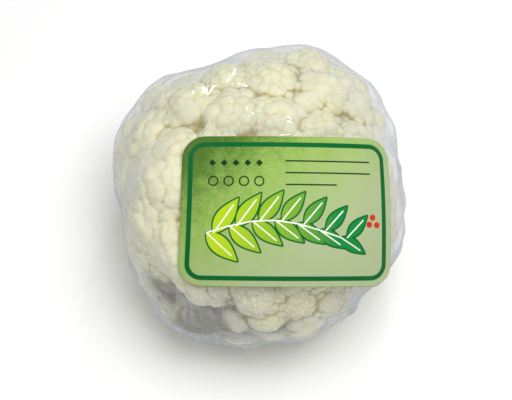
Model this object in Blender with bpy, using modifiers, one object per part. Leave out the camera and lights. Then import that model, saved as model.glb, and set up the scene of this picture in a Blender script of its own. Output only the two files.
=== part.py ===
"""A trimmed cauliflower head in clear stretch film, with a label stuck on the film.

Metres, +Z up. The head stands on the cut face of its stalk, and the centre of that face is the
origin. Lengths below are in millimetres and angles in degrees. MM turns lengths to metres.

Every surface here is a mesh of directions from the head's centre, each moved out as far as the
shape reaches that way. The head is a core with main florets on it and small florets on those.
"""

import math

import bmesh
import bpy
import numpy as np
from mathutils import Vector
from mathutils.bvhtree import BVHTree

MM = 0.001
GOLDEN_ANGLE = math.pi * (3 - math.sqrt(5))

# Head: the core under the florets, and the stalk
HEAD_CENTRE = np.array([0.0, 0.0, 57.0])
CORE_WIDE = 65.5
CORE_DEEP = 69.5
CORE_ABOVE = 54.0
CORE_BELOW = 40.0
CORE_SQUARENESS = 2.35
STALK_RADIUS = 20.0

# Branches that fan out under the curd, as ribs on the core
BRANCHES = 13
BRANCH_RELIEF = 2.4
BRANCHES_BELOW = -34.0

# Bases of the cut leaves, pressed to the head's underside round the stalk
LEAF_BASES = 6
LEAF_BASE_HALF_WIDE = 10.5
LEAF_BASE_THICK = 6.5
LEAF_BASE_CUT_AT = 32.0
LEAF_BASE_LOWEST = 3.2

# Lobes and hollows of the core. Each has an angle round the outline as the eye sees it,
# anticlockwise from the right, a tilt from there towards the eye, how far out and the spread
LOBES = [
    (20, 0, -4.0, 14),
    (41, 0, 6.5, 9),
    (53, 0, -4.0, 7),
    (60, 0, 5.5, 24),
    (99, 0, -7.0, 21),
    (121, 0, -3.0, 9),
    (142, 0, 3.0, 9),
    (147, 0, 3.0, 20),
    (169, 0, 3.5, 8),
    (183, 0, -14.0, 12),
    (240, 0, 6.0, 18),
    (286, 0, 2.0, 9),
    (292, 0, 4.0, 14),
    (319, 0, -15.0, 12),
    (342, 0, 3.0, 9),
    (244, 30, -8.0, 13),
]

# The side of the head that the label is on, as seen by an eye this far away and this far up
EYE_DISTANCE = 728.0
EYE_ELEVATION = 66.0

# Main florets on that side: across, up and half width, as that eye sees them
SEEN_FLORETS = [
    (-55, 32, 12.0),
    (-37, 46, 12.5),
    (-42, 23, 10.5),
    (-15, 43, 13.5),
    (-18, 61, 10.5),
    (7, 60, 12.5),
    (11, 40, 12.5),
    (35, 54, 11.0),
    (50, 46, 9.5),
    (64, 42, 8.5),
    (34, 34, 10.0),
    (58, 29, 9.0),
    (-69, 15, 8.5),
    (-53, 6, 14.0),
    (-56, -12, 13.0),
    (-57, -29, 11.5),
    (-47, -41, 9.5),
    (0, -52, 10.5),
    (20, -55, 9.0),
    (36, -53, 9.5),
    (-10, -64, 7.5),
    (6, -68, 8.0),
    (24, -67, 7.5),
    (71, 1, 8.5),
    (68, -20, 8.0),
    (28, 70, 11.0),
    (-55, 51, 8.5),
    (50, -36, 9.0),
]

# Main florets elsewhere fill the widest gap in turn, until no gap is wider than this. The
# lowest are given as angles up from level, seen from the head's centre
WIDEST_GAP = 4.2
GAP_OVERLAP = 2.4
LARGEST_FILLER = 13.0
LOWEST_FLORET = -36.0
LOWEST_SMALL_FLORET = -42.0

# A main floret is a ball of this radius, standing this far out of the core, per half width
BALL_RADIUS = 1.36
BALL_STANDS = 0.56

# Small florets on a main one
SMALL_SPACING = 9.5
SMALL_RADIUS = 0.66
SMALL_STANDS = 0.20
SMALL_SIZE_SPREAD = 0.16
WIDEST_CAP = 62.0

# Points of the head's mesh
RING_POINTS = 5
RING_SHARE = 0.27
UNDERSIDE_SPACING = 5.5
CLOSEST_POINTS = 1.85
STEEPEST = 1.6
EASING_ROUNDS = 4

# Label: a printed sheet on a barrel-shaped surface
LABEL_WIDE = 100.0
LABEL_HIGH = 70.0
LABEL_CORNER = 10.5
LABEL_THICK = 0.4
LABEL_AT = (16.5, -8.2)
LABEL_YAW = 6.0
LABEL_PITCH = 1.0
LABEL_ROLL = -0.5
LABEL_BEND_ACROSS = 92.0
LABEL_BEND_UP = 100.0
LABEL_CURL_FROM = 30.0
LABEL_CURL = 0.007
LABEL_LEAN = 0.0006
LABEL_SEAM = 1.2
LABEL_MARGIN = 4.0
LABEL_SLACK = 0.45

# Film
FILM_THICK = 0.6
FILM_POINTS = 1040
FILM_SEAM_SPACING = 6.0
FILM_NEXT_TO_SEAM = 4.6
FILM_CLEAR_OF_SEAM = 4.8
FILM_GAP = 0.5
FILM_CLING = 0.25
FILM_HOLE = 23.5
FILM_HOLE_POINTS = 36
FILM_LOWEST = 1.0
FILM_ROUNDS = 9
FILM_STEPS = 60

CLEARANCE = 0.3
RANDOM_SEED = 27

COLOURS = {
    "curd": ((0.83, 0.79, 0.62), 0.55),
    "film": ((0.86, 0.89, 0.93), 0.15),
    "label": ((0.36, 0.58, 0.16), 0.4),
}


def unit(vectors):
    """The same vectors, one long."""
    return vectors / np.linalg.norm(vectors, axis=-1, keepdims=True)


def golden_directions(count):
    """Directions spread evenly over the sphere, from +Z down."""
    k = np.arange(count) + 0.5
    z = 1 - 2 * k / count
    flat = np.sqrt(1 - z * z)
    turn = k * GOLDEN_ANGLE
    return np.column_stack([flat * np.cos(turn), flat * np.sin(turn), z])


def eye_axes():
    """Right, up and towards the eye, for the eye that looks at the label's side."""
    lift = math.radians(EYE_ELEVATION)
    right = np.array([1.0, 0.0, 0.0])
    up = np.array([0.0, math.sin(lift), math.cos(lift)])
    towards = np.array([0.0, -math.cos(lift), math.sin(lift)])
    return right, up, towards


def core_reach(directions):
    """How far the core reaches from the head's centre along each direction."""
    x, y, z = directions.T
    tall = np.where(z > 0, CORE_ABOVE, CORE_BELOW)
    flat = np.hypot(x / CORE_WIDE, y / CORE_DEEP) ** CORE_SQUARENESS
    upright = (np.abs(z) / tall) ** CORE_SQUARENESS
    reach = (flat + upright) ** (-1 / CORE_SQUARENESS)
    around = np.arctan2(y, x)
    level = math.sin(math.radians(BRANCHES_BELOW))
    under = np.clip((level - z) / 0.15, 0, 1) * np.clip((z + 0.92) / 0.12, 0, 1)
    reach = reach + BRANCH_RELIEF * under * np.cos(BRANCHES * around + 1.3 * np.sin(3 * around))
    right, up, towards = eye_axes()
    for angle, tilt, out, spread in LOBES:
        turn, lean = math.radians(angle), math.radians(tilt)
        rim = math.cos(turn) * right + math.sin(turn) * up
        lobe = math.cos(lean) * rim + math.sin(lean) * towards
        off = np.degrees(np.arccos(np.clip(directions @ lobe, -1, 1)))
        reach = reach + out * np.exp(-((off / spread) ** 2))
    return reach


def stalk_reach(directions):
    """The same for the stalk, a short upright cylinder cut off flat at the bottom."""
    x, y, z = directions.T
    tiny = 1e-6
    to_wall = STALK_RADIUS / np.maximum(np.hypot(x, y), tiny)
    to_cut = HEAD_CENTRE[2] / np.maximum(-z, tiny)
    return np.where(z < 0, np.minimum(to_wall, to_cut), 0.0)


def leaf_base_turns():
    """Where each leaf base stands round the stalk, and how long it is cut."""
    k = np.arange(LEAF_BASES)
    return 2 * math.pi * k / LEAF_BASES + 0.3 + 0.1 * np.sin(2.1 * k), 1 + 0.09 * np.sin(3.3 * k)


def leaf_bases_reach(directions):
    """The same for the bases of the cut leaves, each thickest along its middle."""
    under_core = core_reach(directions)
    from_axis = under_core * np.hypot(directions[:, 0], directions[:, 1])
    around = np.arctan2(directions[:, 1], directions[:, 0])
    thickness = np.zeros(len(directions))
    for turn, length in zip(*leaf_base_turns()):
        off = (around - turn + math.pi) % (2 * math.pi) - math.pi
        aside = off * np.maximum(from_axis, STALK_RADIUS) / LEAF_BASE_HALF_WIDE
        crescent = np.sqrt(np.maximum(1 - aside**2, 0))
        uncut = np.clip((1.04 - from_axis / (LEAF_BASE_CUT_AT * length)) / 0.08, 0, 1)
        thickness = np.maximum(thickness, crescent * uncut)
    lowest = (HEAD_CENTRE[2] - LEAF_BASE_LOWEST) / np.maximum(-directions[:, 2], 1e-6)
    reach = np.minimum(under_core + LEAF_BASE_THICK * thickness, lowest)
    return np.where((directions[:, 2] < 0) & (thickness > 0), reach, 0.0)


def balls_reach(directions, centres, radii):
    """The same for the furthest of some balls, whose centres are taken from the head's centre."""
    along = directions @ centres.T
    inside = radii**2 - (centres**2).sum(axis=1) + along**2
    reach = np.where(inside > 0, along + np.sqrt(np.maximum(inside, 0)), 0.0)
    return reach.max(axis=1)


def seen_direction(across, up):
    """The direction from the head's centre to where a line of sight meets the core."""
    right, upward, towards = eye_axes()
    eye = EYE_DISTANCE * towards
    target = across * right + up * upward
    sight = unit(target - eye)
    steps = np.linspace(EYE_DISTANCE - 120, EYE_DISTANCE + 40, 400)
    points = eye + steps[:, None] * sight
    depth = np.linalg.norm(points, axis=1) / core_reach(unit(points))
    inside = np.nonzero(depth <= 1)[0]
    return unit(points[inside[0] if len(inside) else depth.argmin()])


def main_florets():
    """(directions, half widths) of the main florets: those placed by eye, then the fillers."""
    directions = [seen_direction(across, up) for across, up, _ in SEEN_FLORETS]
    widths = [half_width for _, _, half_width in SEEN_FLORETS]

    spots = golden_directions(6000)
    points = spots * core_reach(spots)[:, None]
    curd = spots[:, 2] > math.sin(math.radians(LOWEST_FLORET))
    spots, points = spots[curd], points[curd]
    gap = np.full(len(spots), 2 * CORE_WIDE)
    for direction, half_width in zip(directions, widths):
        taken = direction * core_reach(direction[None])[0]
        gap = np.minimum(gap, np.linalg.norm(points - taken, axis=1) - half_width)
    while gap.max() > WIDEST_GAP:
        widest = gap.argmax()
        half_width = min(gap[widest] + GAP_OVERLAP, LARGEST_FILLER)
        directions.append(spots[widest])
        widths.append(half_width)
        gap = np.minimum(gap, np.linalg.norm(points - points[widest], axis=1) - half_width)
    return np.array(directions), np.array(widths)


def main_balls(directions, widths):
    """(centres, radii) of the balls that stand for the main florets."""
    radii = BALL_RADIUS * widths
    away = core_reach(directions) + BALL_STANDS * widths - radii
    return directions * away[:, None], radii


def side_vectors(direction):
    """Two directions square to this one and to each other."""
    helper = np.array([0.0, 0.0, 1.0]) if abs(direction[2]) < 0.9 else np.array([1.0, 0.0, 0.0])
    first = unit(np.cross(helper, direction))
    return first, np.cross(direction, first)


def small_balls(directions, centres, radii, random):
    """(centres, radii, tops) of the small florets, in a golden-angle spiral on each main one."""
    made_centres, made_radii, tops = [], [], []
    for direction, centre, radius in zip(directions, centres, radii):
        first, second = side_vectors(direction)
        start = random.uniform(0, 2 * math.pi)
        for k in range(60):
            tilt = 0.58 * SMALL_SPACING / radius * math.sqrt(k)
            if tilt > math.radians(WIDEST_CAP):
                break
            turn = start + k * GOLDEN_ANGLE
            sideways = math.cos(turn) * first + math.sin(turn) * second
            outward = math.cos(tilt) * direction + math.sin(tilt) * sideways
            size = SMALL_SPACING * (1 + random.uniform(-SMALL_SIZE_SPREAD, SMALL_SIZE_SPREAD))
            top = centre + outward * (radius + SMALL_STANDS * size)
            reach = np.linalg.norm(top)
            way = (top / reach)[None]
            buried = reach < max(core_reach(way)[0], balls_reach(way, centres, radii)[0])
            too_low = way[0, 2] < math.sin(math.radians(LOWEST_SMALL_FLORET))
            crowded = any(np.linalg.norm(top - other) < 0.62 * SMALL_SPACING for other in tops)
            if buried or too_low or crowded:
                continue
            ball_radius = SMALL_RADIUS * size
            made_centres.append(top - outward * ball_radius)
            made_radii.append(ball_radius)
            tops.append(top)
    return np.array(made_centres), np.array(made_radii), np.array(tops)


def hull(directions):
    """A closed mesh of triangles through directions of the unit sphere."""
    mesh = bmesh.new()
    for direction in directions:
        mesh.verts.new(direction)
    bmesh.ops.convex_hull(mesh, input=mesh.verts[:])
    loose = [vert for vert in mesh.verts if not vert.link_faces]
    bmesh.ops.delete(mesh, geom=loose, context="VERTS")
    bmesh.ops.triangulate(mesh, faces=mesh.faces[:])
    bmesh.ops.recalc_face_normals(mesh, faces=mesh.faces[:])
    mesh.verts.ensure_lookup_table()
    mesh.verts.index_update()
    return mesh


def thinned(directions, reach, closest):
    """The directions, less each whose point is nearer than this to one kept before it."""
    points = directions * reach[:, None]
    kept = []
    for k, point in enumerate(points):
        if not kept or np.linalg.norm(points[kept] - point, axis=1).min() >= closest:
            kept.append(k)
    return directions[kept]


def head_directions(tops, reach_of, random):
    """Mesh points of the head: each small floret's top, a ring round it and the creases between."""
    peaks = unit(tops)
    stalk_rim = [
        [rho * math.cos(turn), rho * math.sin(turn), z - HEAD_CENTRE[2]]
        for rho, z, count in (
            (STALK_RADIUS, 0.0, 32),
            (STALK_RADIUS, 8.0, 24),
            (0.5 * STALK_RADIUS, 0.0, 8),
            (0.0, 0.0, 1),
        )
        for turn in np.arange(count) * 2 * math.pi / count
    ]
    underside = golden_directions(int(4 * math.pi * (CORE_WIDE / UNDERSIDE_SPACING) ** 2))
    points = underside * core_reach(underside)[:, None]
    low = underside[:, 2] < math.sin(math.radians(LOWEST_FLORET + 6))
    outside = np.hypot(points[:, 0], points[:, 1]) > STALK_RADIUS + 3
    fill = underside[low & outside]

    leaf_bases = []
    for turn, length in zip(*leaf_base_turns()):
        for along in (0.72, 0.86, 0.965, 1.045):
            rho = along * LEAF_BASE_CUT_AT * length
            height = -CORE_BELOW * (1 - (rho / CORE_WIDE) ** CORE_SQUARENESS) ** (
                1 / CORE_SQUARENESS
            )
            for aside in (-1.12, -0.96, -0.55, 0.0, 0.55, 0.96, 1.12):
                around = turn + aside * LEAF_BASE_HALF_WIDE / rho
                leaf_bases.append([rho * math.cos(around), rho * math.sin(around), height])

    rings = []
    for peak, top in zip(peaks, tops):
        first, second = side_vectors(peak)
        start = random.uniform(0, 2 * math.pi)
        share = RING_SHARE * SMALL_SPACING / np.linalg.norm(top)
        for turn in start + np.arange(RING_POINTS) * 2 * math.pi / RING_POINTS:
            rings.append(unit(peak + share * (math.cos(turn) * first + math.sin(turn) * second)))

    net = hull(peaks)
    longest = 2.0 * SMALL_SPACING / CORE_WIDE
    creases = [
        sum((vert.co for vert in face.verts), Vector()).normalized()
        for face in net.faces
        if max(edge.calc_length() for edge in face.edges) < longest
    ]
    creases += [
        sum((vert.co for vert in edge.verts), Vector()).normalized()
        for edge in net.edges
        if edge.calc_length() < longest
    ]
    net.free()
    placed = [unit(np.array(stalk_rim)), unit(np.array(leaf_bases)), peaks]
    every = np.vstack([*placed, np.array(creases), np.array(rings), fill])
    return thinned(every, reach_of(every), CLOSEST_POINTS)


def mesh_object(name, mesh, material, collection):
    """A new object from an edit mesh in millimetres, shaded smooth with sharp creases kept."""
    bmesh.ops.scale(mesh, vec=(MM, MM, MM), verts=mesh.verts[:])
    data = bpy.data.meshes.new(name)
    mesh.to_mesh(data)
    mesh.free()
    data.shade_smooth()
    data.set_sharp_from_angle(angle=math.radians(50))
    data.materials.append(material)
    made = bpy.data.objects.new(name, data)
    collection.objects.link(made)
    return made


def eased(mesh, ways, reach):
    """The reach with the foot of every slope steeper than the steepest raised to it."""
    ends = np.array([(edge.verts[0].index, edge.verts[1].index) for edge in mesh.edges])
    above_cut = ways[:, 2] * reach + HEAD_CENTRE[2] > 0.5
    for _ in range(EASING_ROUNDS):
        ends = np.where((reach[ends[:, 0]] > reach[ends[:, 1]])[:, None], ends, ends[:, ::-1])
        high, low = ends.T
        sideways = np.linalg.norm(ways[high] - ways[low], axis=1) * reach[low]
        foot = np.where(above_cut[low], reach[high] - STEEPEST * sideways, 0.0)
        raised = reach.copy()
        np.maximum.at(raised, low, foot)
        reach = raised
    return reach


def head_mesh(reach_of, directions):
    """The head's edit mesh, in millimetres."""
    mesh = hull(directions)
    ways = unit(np.array([vert.co for vert in mesh.verts]))
    reach = eased(mesh, ways, reach_of(ways))
    places = HEAD_CENTRE + ways * reach[:, None]
    places[:, 2] = np.where(np.abs(places[:, 2]) < 0.01, 0.0, places[:, 2])
    for vert, place in zip(mesh.verts, places):
        vert.co = place
    return mesh


def label_axes():
    """(across, up, outward) axes of the label's middle."""
    right, up, towards = eye_axes()
    yaw, pitch, roll = (math.radians(a) for a in (LABEL_YAW, LABEL_PITCH, LABEL_ROLL))
    outward = unit(towards + math.tan(yaw) * right + math.tan(pitch) * up)
    across = unit(np.cross(up, outward))
    upward = np.cross(outward, across)
    turned = math.cos(roll) * across + math.sin(roll) * upward
    return turned, np.cross(outward, turned), outward


def label_place(x, y, middle):
    """Where a place on the flat label comes to on the head, from the head's centre."""
    across, up, outward = label_axes()
    x = x * (1 - LABEL_LEAN * y)
    return middle + x * across + y * up - label_drop(x, y) * outward


def label_drop(across, up):
    """How far the label's surface falls behind its middle, at places on it."""
    barrel = across**2 / (2 * LABEL_BEND_ACROSS) + up**2 / (2 * LABEL_BEND_UP)
    curled = np.maximum(across - LABEL_CURL_FROM, 0) ** 2
    return barrel + LABEL_CURL * curled * (1 + up / LABEL_HIGH)


def label_middle(points):
    """The label's middle, from the head's centre, so that its back clears the head's points."""
    across, up, outward = label_axes()
    right, upward, towards = eye_axes()
    sight = unit(LABEL_AT[0] * right + LABEL_AT[1] * upward - EYE_DISTANCE * towards)
    eye = EYE_DISTANCE * towards
    start = eye + sight * (EYE_DISTANCE - 60)
    x, y, z = (points @ across, points @ up, points @ outward)
    x0, y0 = start @ across, start @ up
    half_wide, half_high = LABEL_WIDE / 2 + LABEL_MARGIN, LABEL_HIGH / 2 + LABEL_MARGIN
    under = (np.abs(x - x0) < half_wide) & (np.abs(y - y0) < half_high)
    need = (z + label_drop(x - x0, y - y0))[under].max()
    above = need + CLEARANCE + FILM_THICK + LABEL_SLACK + FILM_GAP
    return start + sight * ((above - start @ outward) / (sight @ outward))


def label_height(points, middle):
    """(height over the label's back, whether under the label) for points from the head's centre."""
    across, up, outward = label_axes()
    away = points - middle
    x, y = away @ across, away @ up
    flat_x = np.abs(x) / (1 - LABEL_LEAN * y)
    corner_x = np.maximum(flat_x - LABEL_WIDE / 2 + LABEL_CORNER, 0)
    corner_y = np.maximum(np.abs(y) - LABEL_HIGH / 2 + LABEL_CORNER, 0)
    under = np.hypot(corner_x, corner_y) < LABEL_CORNER + LABEL_SEAM + 0.2
    return away @ outward + label_drop(x, y), under


def make_label(collection, material, middle):
    """The label: a grid with its corners drawn in to arcs, laid on the barrel surface."""
    mesh = bmesh.new()
    cells_x, cells_y, corner_cells = 14, 10, 3
    bmesh.ops.create_grid(mesh, x_segments=cells_x, y_segments=cells_y, size=1.0)

    def spread(value, cells, half):
        """A grid line's place: fine lines in the corners, wide ones between."""
        steps = (1 - abs(value)) * cells / 2
        if steps <= corner_cells:
            return math.copysign(half - steps * LABEL_CORNER / corner_cells, value)
        return value * (half - LABEL_CORNER) / (1 - 2 * corner_cells / cells)

    for vert in mesh.verts:
        x = spread(vert.co.x, cells_x, LABEL_WIDE / 2)
        y = spread(vert.co.y, cells_y, LABEL_HIGH / 2)
        over_x = abs(x) - (LABEL_WIDE / 2 - LABEL_CORNER)
        over_y = abs(y) - (LABEL_HIGH / 2 - LABEL_CORNER)
        if over_x > 1e-6 and over_y > 1e-6:
            shrink = max(over_x, over_y) / math.hypot(over_x, over_y)
            x = math.copysign(abs(x) - over_x * (1 - shrink), x)
            y = math.copysign(abs(y) - over_y * (1 - shrink), y)
        vert.co = Vector(HEAD_CENTRE + label_place(x, y, middle))
    label = mesh_object("label", mesh, material, collection)
    thick = label.modifiers.new("Thickness", "SOLIDIFY")
    thick.thickness = LABEL_THICK * MM
    thick.offset = 1.0
    return label


def solid_points(made):
    """The points of an object with no modifiers, from the head's centre in millimetres."""
    return np.array([vert.co for vert in made.data.vertices]) / MM - HEAD_CENTRE


def label_seam(middle, outside):
    """Points this far outside the label's edge, evenly along it, from the head's centre."""
    straight_x, straight_y = LABEL_WIDE - 2 * LABEL_CORNER, LABEL_HIGH - 2 * LABEL_CORNER
    radius = LABEL_CORNER + outside
    arc = radius * math.pi / 2
    round_trip = 2 * (straight_x + straight_y) + 4 * arc
    count = round(round_trip / FILM_SEAM_SPACING)
    points = []
    for k in range(count):
        left = k * round_trip / count
        x, y, heading = -straight_x / 2, -straight_y / 2 - radius, 0.0
        for side in (straight_x, straight_y, straight_x, straight_y):
            ahead = np.array([math.cos(heading), math.sin(heading)])
            aside = np.array([-ahead[1], ahead[0]])
            step = min(left, side)
            x, y = np.array([x, y]) + step * ahead
            left -= step
            if left <= 0:
                break
            bent = min(left, arc) / radius
            x, y = np.array([x, y]) + radius * (
                math.sin(bent) * ahead + (1 - math.cos(bent)) * aside
            )
            left -= bent * radius
            heading += math.pi / 2
            if left <= 1e-9:
                break
        points.append(label_place(x, y, middle))
    return np.array(points)


def film_net(middle):
    """The film's edit mesh on the unit sphere: even points, a seam of points along the label's
    edge, and a ring of them round the opening for the stalk."""
    height = FILM_LOWEST - HEAD_CENTRE[2]
    turns = np.arange(FILM_HOLE_POINTS) * 2 * math.pi / FILM_HOLE_POINTS
    rim = [[FILM_HOLE * math.cos(turn), FILM_HOLE * math.sin(turn), height] for turn in turns]
    rim = unit(np.array(rim))
    even = golden_directions(FILM_POINTS)
    beyond = LABEL_SEAM + FILM_NEXT_TO_SEAM
    seam = unit(np.vstack([label_seam(middle, LABEL_SEAM), label_seam(middle, beyond)]))
    clear = np.degrees(np.arccos((even @ seam.T).max(axis=1))) > math.degrees(
        FILM_CLEAR_OF_SEAM / CORE_WIDE
    )
    even = even[(even[:, 2] > rim[0, 2] + 0.035) & clear]
    mesh = hull(np.vstack([rim, seam, even]))
    lowest = rim[0, 2] + 1e-4
    cap = [face for face in mesh.faces if all(vert.co.z < lowest for vert in face.verts)]
    bmesh.ops.delete(mesh, geom=cap, context="FACES_KEEP_BOUNDARY")
    mesh.verts.ensure_lookup_table()
    mesh.verts.index_update()
    return mesh


def stretched(mesh, held, middle):
    """How far the film reaches along each of its net's directions: drawn tight over the points
    held inside it, stuck to the label's back, and clear of the surface the head stands on."""
    ways = unit(np.array([vert.co for vert in mesh.verts]))
    joined = np.array([(e.verts[0].index, e.verts[1].index) for e in mesh.edges])
    ends = np.concatenate([joined, joined[:, ::-1]])
    links = np.bincount(ends[:, 0], minlength=len(ways))
    corners = np.array([[vert.index for vert in face.verts] for face in mesh.faces])
    held_reach = np.linalg.norm(held, axis=1)
    held_ways = held / held_reach[:, None]

    steep = ways[:, 2] < 0
    lowest = np.where(steep, (HEAD_CENTRE[2] - FILM_LOWEST) / np.maximum(-ways[:, 2], 1e-6), 1e3)
    rim = np.array([vert.is_boundary for vert in mesh.verts])
    stuck_at, stuck = label_stick(ways, middle)

    floor = np.full(len(ways), 30.0)
    reach = np.full(len(ways), held_reach.max() + 2)
    for _ in range(FILM_ROUNDS):
        for _ in range(FILM_STEPS):
            places = ways * reach[:, None]
            pulls = np.zeros_like(places)
            np.add.at(pulls, ends[:, 0], places[ends[:, 1]])
            drawn = ((pulls / links[:, None]) * ways).sum(axis=1) - FILM_CLING
            reach = np.maximum(drawn, floor)
            reach = np.where(stuck, stuck_at, reach)
            reach = np.where(rim, lowest, np.minimum(reach, lowest))
        places = ways * reach[:, None]
        tree = BVHTree.FromPolygons([Vector(p) for p in places], corners.tolist())
        for way, far in zip(held_ways, held_reach):
            hit, _, face, distance = tree.ray_cast(Vector((0, 0, 0)), Vector(way))
            if face is not None and distance < far + FILM_GAP:
                raised = reach[corners[face]] + (far + FILM_GAP - distance)
                floor[corners[face]] = np.maximum(floor[corners[face]], raised)
    return ways, reach


def label_stick(ways, middle):
    """(reach, whether) for the film's points that are stuck to the label's back."""
    low = np.full(len(ways), 30.0)
    high = np.full(len(ways), 120.0)
    for _ in range(40):
        tried = (low + high) / 2
        height, _ = label_height(ways * tried[:, None], middle)
        over = height > -(CLEARANCE + FILM_THICK + LABEL_SLACK)
        high = np.where(over, tried, high)
        low = np.where(over, low, tried)
    _, under = label_height(ways * low[:, None], middle)
    facing = ways @ label_axes()[2] > 0.3
    return low, under & facing


def make_film(collection, material, inside, middle):
    """The film: an open skin round everything inside it, given its thickness outwards."""
    mesh = film_net(middle)
    ways, reach = stretched(mesh, inside, middle)
    for vert, way, far in zip(mesh.verts, ways, reach):
        vert.co = Vector(HEAD_CENTRE + way * far)
    film = mesh_object("film", mesh, material, collection)
    thick = film.modifiers.new("Thickness", "SOLIDIFY")
    thick.thickness = FILM_THICK * MM
    thick.offset = 1.0
    return film


def make_material(name):
    """A plain finish in the piece's colour."""
    colour, roughness = COLOURS[name]
    material = bpy.data.materials.new(name)
    material.use_nodes = True
    shader = material.node_tree.nodes["Principled BSDF"]
    shader.inputs["Base Color"].default_value = (*colour, 1.0)
    shader.inputs["Roughness"].default_value = roughness
    shader.inputs["Metallic"].default_value = 0.0
    return material


def clear_scene():
    """Removes what the scene starts with."""
    for old in list(bpy.data.objects):
        bpy.data.objects.remove(old, do_unlink=True)


def main():
    """Builds the head, the film and the label."""
    clear_scene()
    collection = bpy.data.collections.new("cauliflower")
    bpy.context.scene.collection.children.link(collection)
    materials = {name: make_material(name) for name in COLOURS}
    random = np.random.default_rng(RANDOM_SEED)

    directions, widths = main_florets()
    centres, radii = main_balls(directions, widths)
    small_centres, small_radii, tops = small_balls(directions, centres, radii, random)
    all_centres = np.vstack([centres, small_centres])
    all_radii = np.concatenate([radii, small_radii])

    def reach_of(ways):
        """How far the whole head reaches along each direction."""
        florets = np.maximum(core_reach(ways), balls_reach(ways, all_centres, all_radii))
        return np.maximum(florets, np.maximum(stalk_reach(ways), leaf_bases_reach(ways)))

    ways = head_directions(tops, reach_of, random)
    head = mesh_object(
        "cauliflower_head", head_mesh(reach_of, ways), materials["curd"], collection
    )
    held = solid_points(head)
    middle = label_middle(held)
    make_label(collection, materials["label"], middle)
    make_film(collection, materials["film"], held, middle)


main()
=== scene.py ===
"""Looks of a cauliflower head in stretch film, with a printed label stuck on the film.

The head, the film and the label are made again, finely, from the named values that their solids
come from, and each stands for its own solid. Lengths are in millimetres and angles in degrees
until a mesh is made. Positions are taken from the middle of the head unless a name says otherwise.
"""

import logging
import math
from dataclasses import dataclass, field
from enum import Enum

import bmesh
import bpy
import numpy as np
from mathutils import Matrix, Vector, noise
from mathutils.bvhtree import BVHTree
from mathutils.kdtree import KDTree


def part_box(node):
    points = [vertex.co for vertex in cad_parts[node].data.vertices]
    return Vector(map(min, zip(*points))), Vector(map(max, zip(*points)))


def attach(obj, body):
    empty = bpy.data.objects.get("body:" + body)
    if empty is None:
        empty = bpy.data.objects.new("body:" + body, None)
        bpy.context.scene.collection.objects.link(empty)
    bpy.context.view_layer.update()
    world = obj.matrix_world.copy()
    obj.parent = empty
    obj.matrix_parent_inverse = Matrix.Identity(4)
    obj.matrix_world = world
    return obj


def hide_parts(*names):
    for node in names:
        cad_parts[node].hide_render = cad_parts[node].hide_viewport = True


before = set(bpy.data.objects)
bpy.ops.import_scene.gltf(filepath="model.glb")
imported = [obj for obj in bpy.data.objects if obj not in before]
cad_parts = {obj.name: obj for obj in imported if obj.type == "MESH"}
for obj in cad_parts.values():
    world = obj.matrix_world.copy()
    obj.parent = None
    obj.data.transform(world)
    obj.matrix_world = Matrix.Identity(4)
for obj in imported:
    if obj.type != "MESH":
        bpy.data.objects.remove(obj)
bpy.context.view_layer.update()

MM = 0.001
GOLDEN_ANGLE = math.pi * (3 - math.sqrt(5))
LOG = logging.getLogger("cauliflower")

Numbers = np.ndarray
Pair = tuple[float, float]
Triple = tuple[float, float, float]
Colour = tuple[float, float, float, float]


def linear(code: str) -> Colour:
    """Turns an sRGB colour to the linear one that shaders take.

    Args:
        code: six hex digits, with or without a leading hash.

    Returns:
        Red, green, blue and an alpha of 1.
    """
    parts = [int(code.lstrip("#")[k : k + 2], 16) / 255 for k in (0, 2, 4)]
    made = [p / 12.92 if p <= 0.04045 else ((p + 0.055) / 1.055) ** 2.4 for p in parts]
    return made[0], made[1], made[2], 1.0


def start_material(name: str) -> tuple[bpy.types.Material, bpy.types.NodeTree]:
    """Starts a material.

    Args:
        name: its name.

    Returns:
        The material and its node tree.
    """
    made = bpy.data.materials.new(name)
    made.use_nodes = True
    return made, made.node_tree


def add_node(
    tree: bpy.types.NodeTree,
    kind: str,
    inputs: dict[str | int, object] | None = None,
    **settings: object,
) -> bpy.types.Node:
    """Adds a node with its settings and links.

    Args:
        tree: the node tree that takes it.
        kind: the node's type name, without the ShaderNode that each starts with.
        inputs: for its sockets, by name or number, a constant or the output that feeds it.
        settings: its own properties.

    Returns:
        The new node.
    """
    made = tree.nodes.new("ShaderNode" + kind)
    for name, value in settings.items():
        setattr(made, name, value)
    for socket, value in (inputs or {}).items():
        if isinstance(value, bpy.types.NodeSocket):
            tree.links.new(value, made.inputs[socket])
        else:
            made.inputs[socket].default_value = value
    return made


def tinted(
    tree: bpy.types.NodeTree,
    colour: bpy.types.NodeSocket,
    tint: Colour | bpy.types.NodeSocket,
    amount: bpy.types.NodeSocket,
    none_at: float,
    full_at: float,
    most: float = 1.0,
) -> bpy.types.NodeSocket:
    """Lays a tint over a colour, the more the nearer an amount is to one of its values.

    Args:
        tree: the node tree.
        colour: the colour under the tint.
        tint: the tint.
        amount: what decides how much of it shows.
        none_at: the amount where it doesn't show at all.
        full_at: the amount where it shows most.
        most: how much of it shows there, from 0 to 1.

    Returns:
        The new colour.
    """
    scale = {0: amount, 1: none_at, 2: full_at, 3: 0.0, 4: most}
    cover = add_node(tree, "MapRange", scale, interpolation_type="SMOOTHSTEP").outputs[0]
    return add_node(tree, "Mix", {0: cover, 6: colour, 7: tint}, data_type="RGBA").outputs[2]


def put_in_scene(name: str, data: bpy.types.ID) -> bpy.types.Object:
    """Adds an object to the scene.

    Args:
        name: its name.
        data: its mesh, lamp or camera.

    Returns:
        The object.
    """
    made = bpy.data.objects.new(name, data)
    bpy.context.scene.collection.objects.link(made)
    return made


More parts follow.
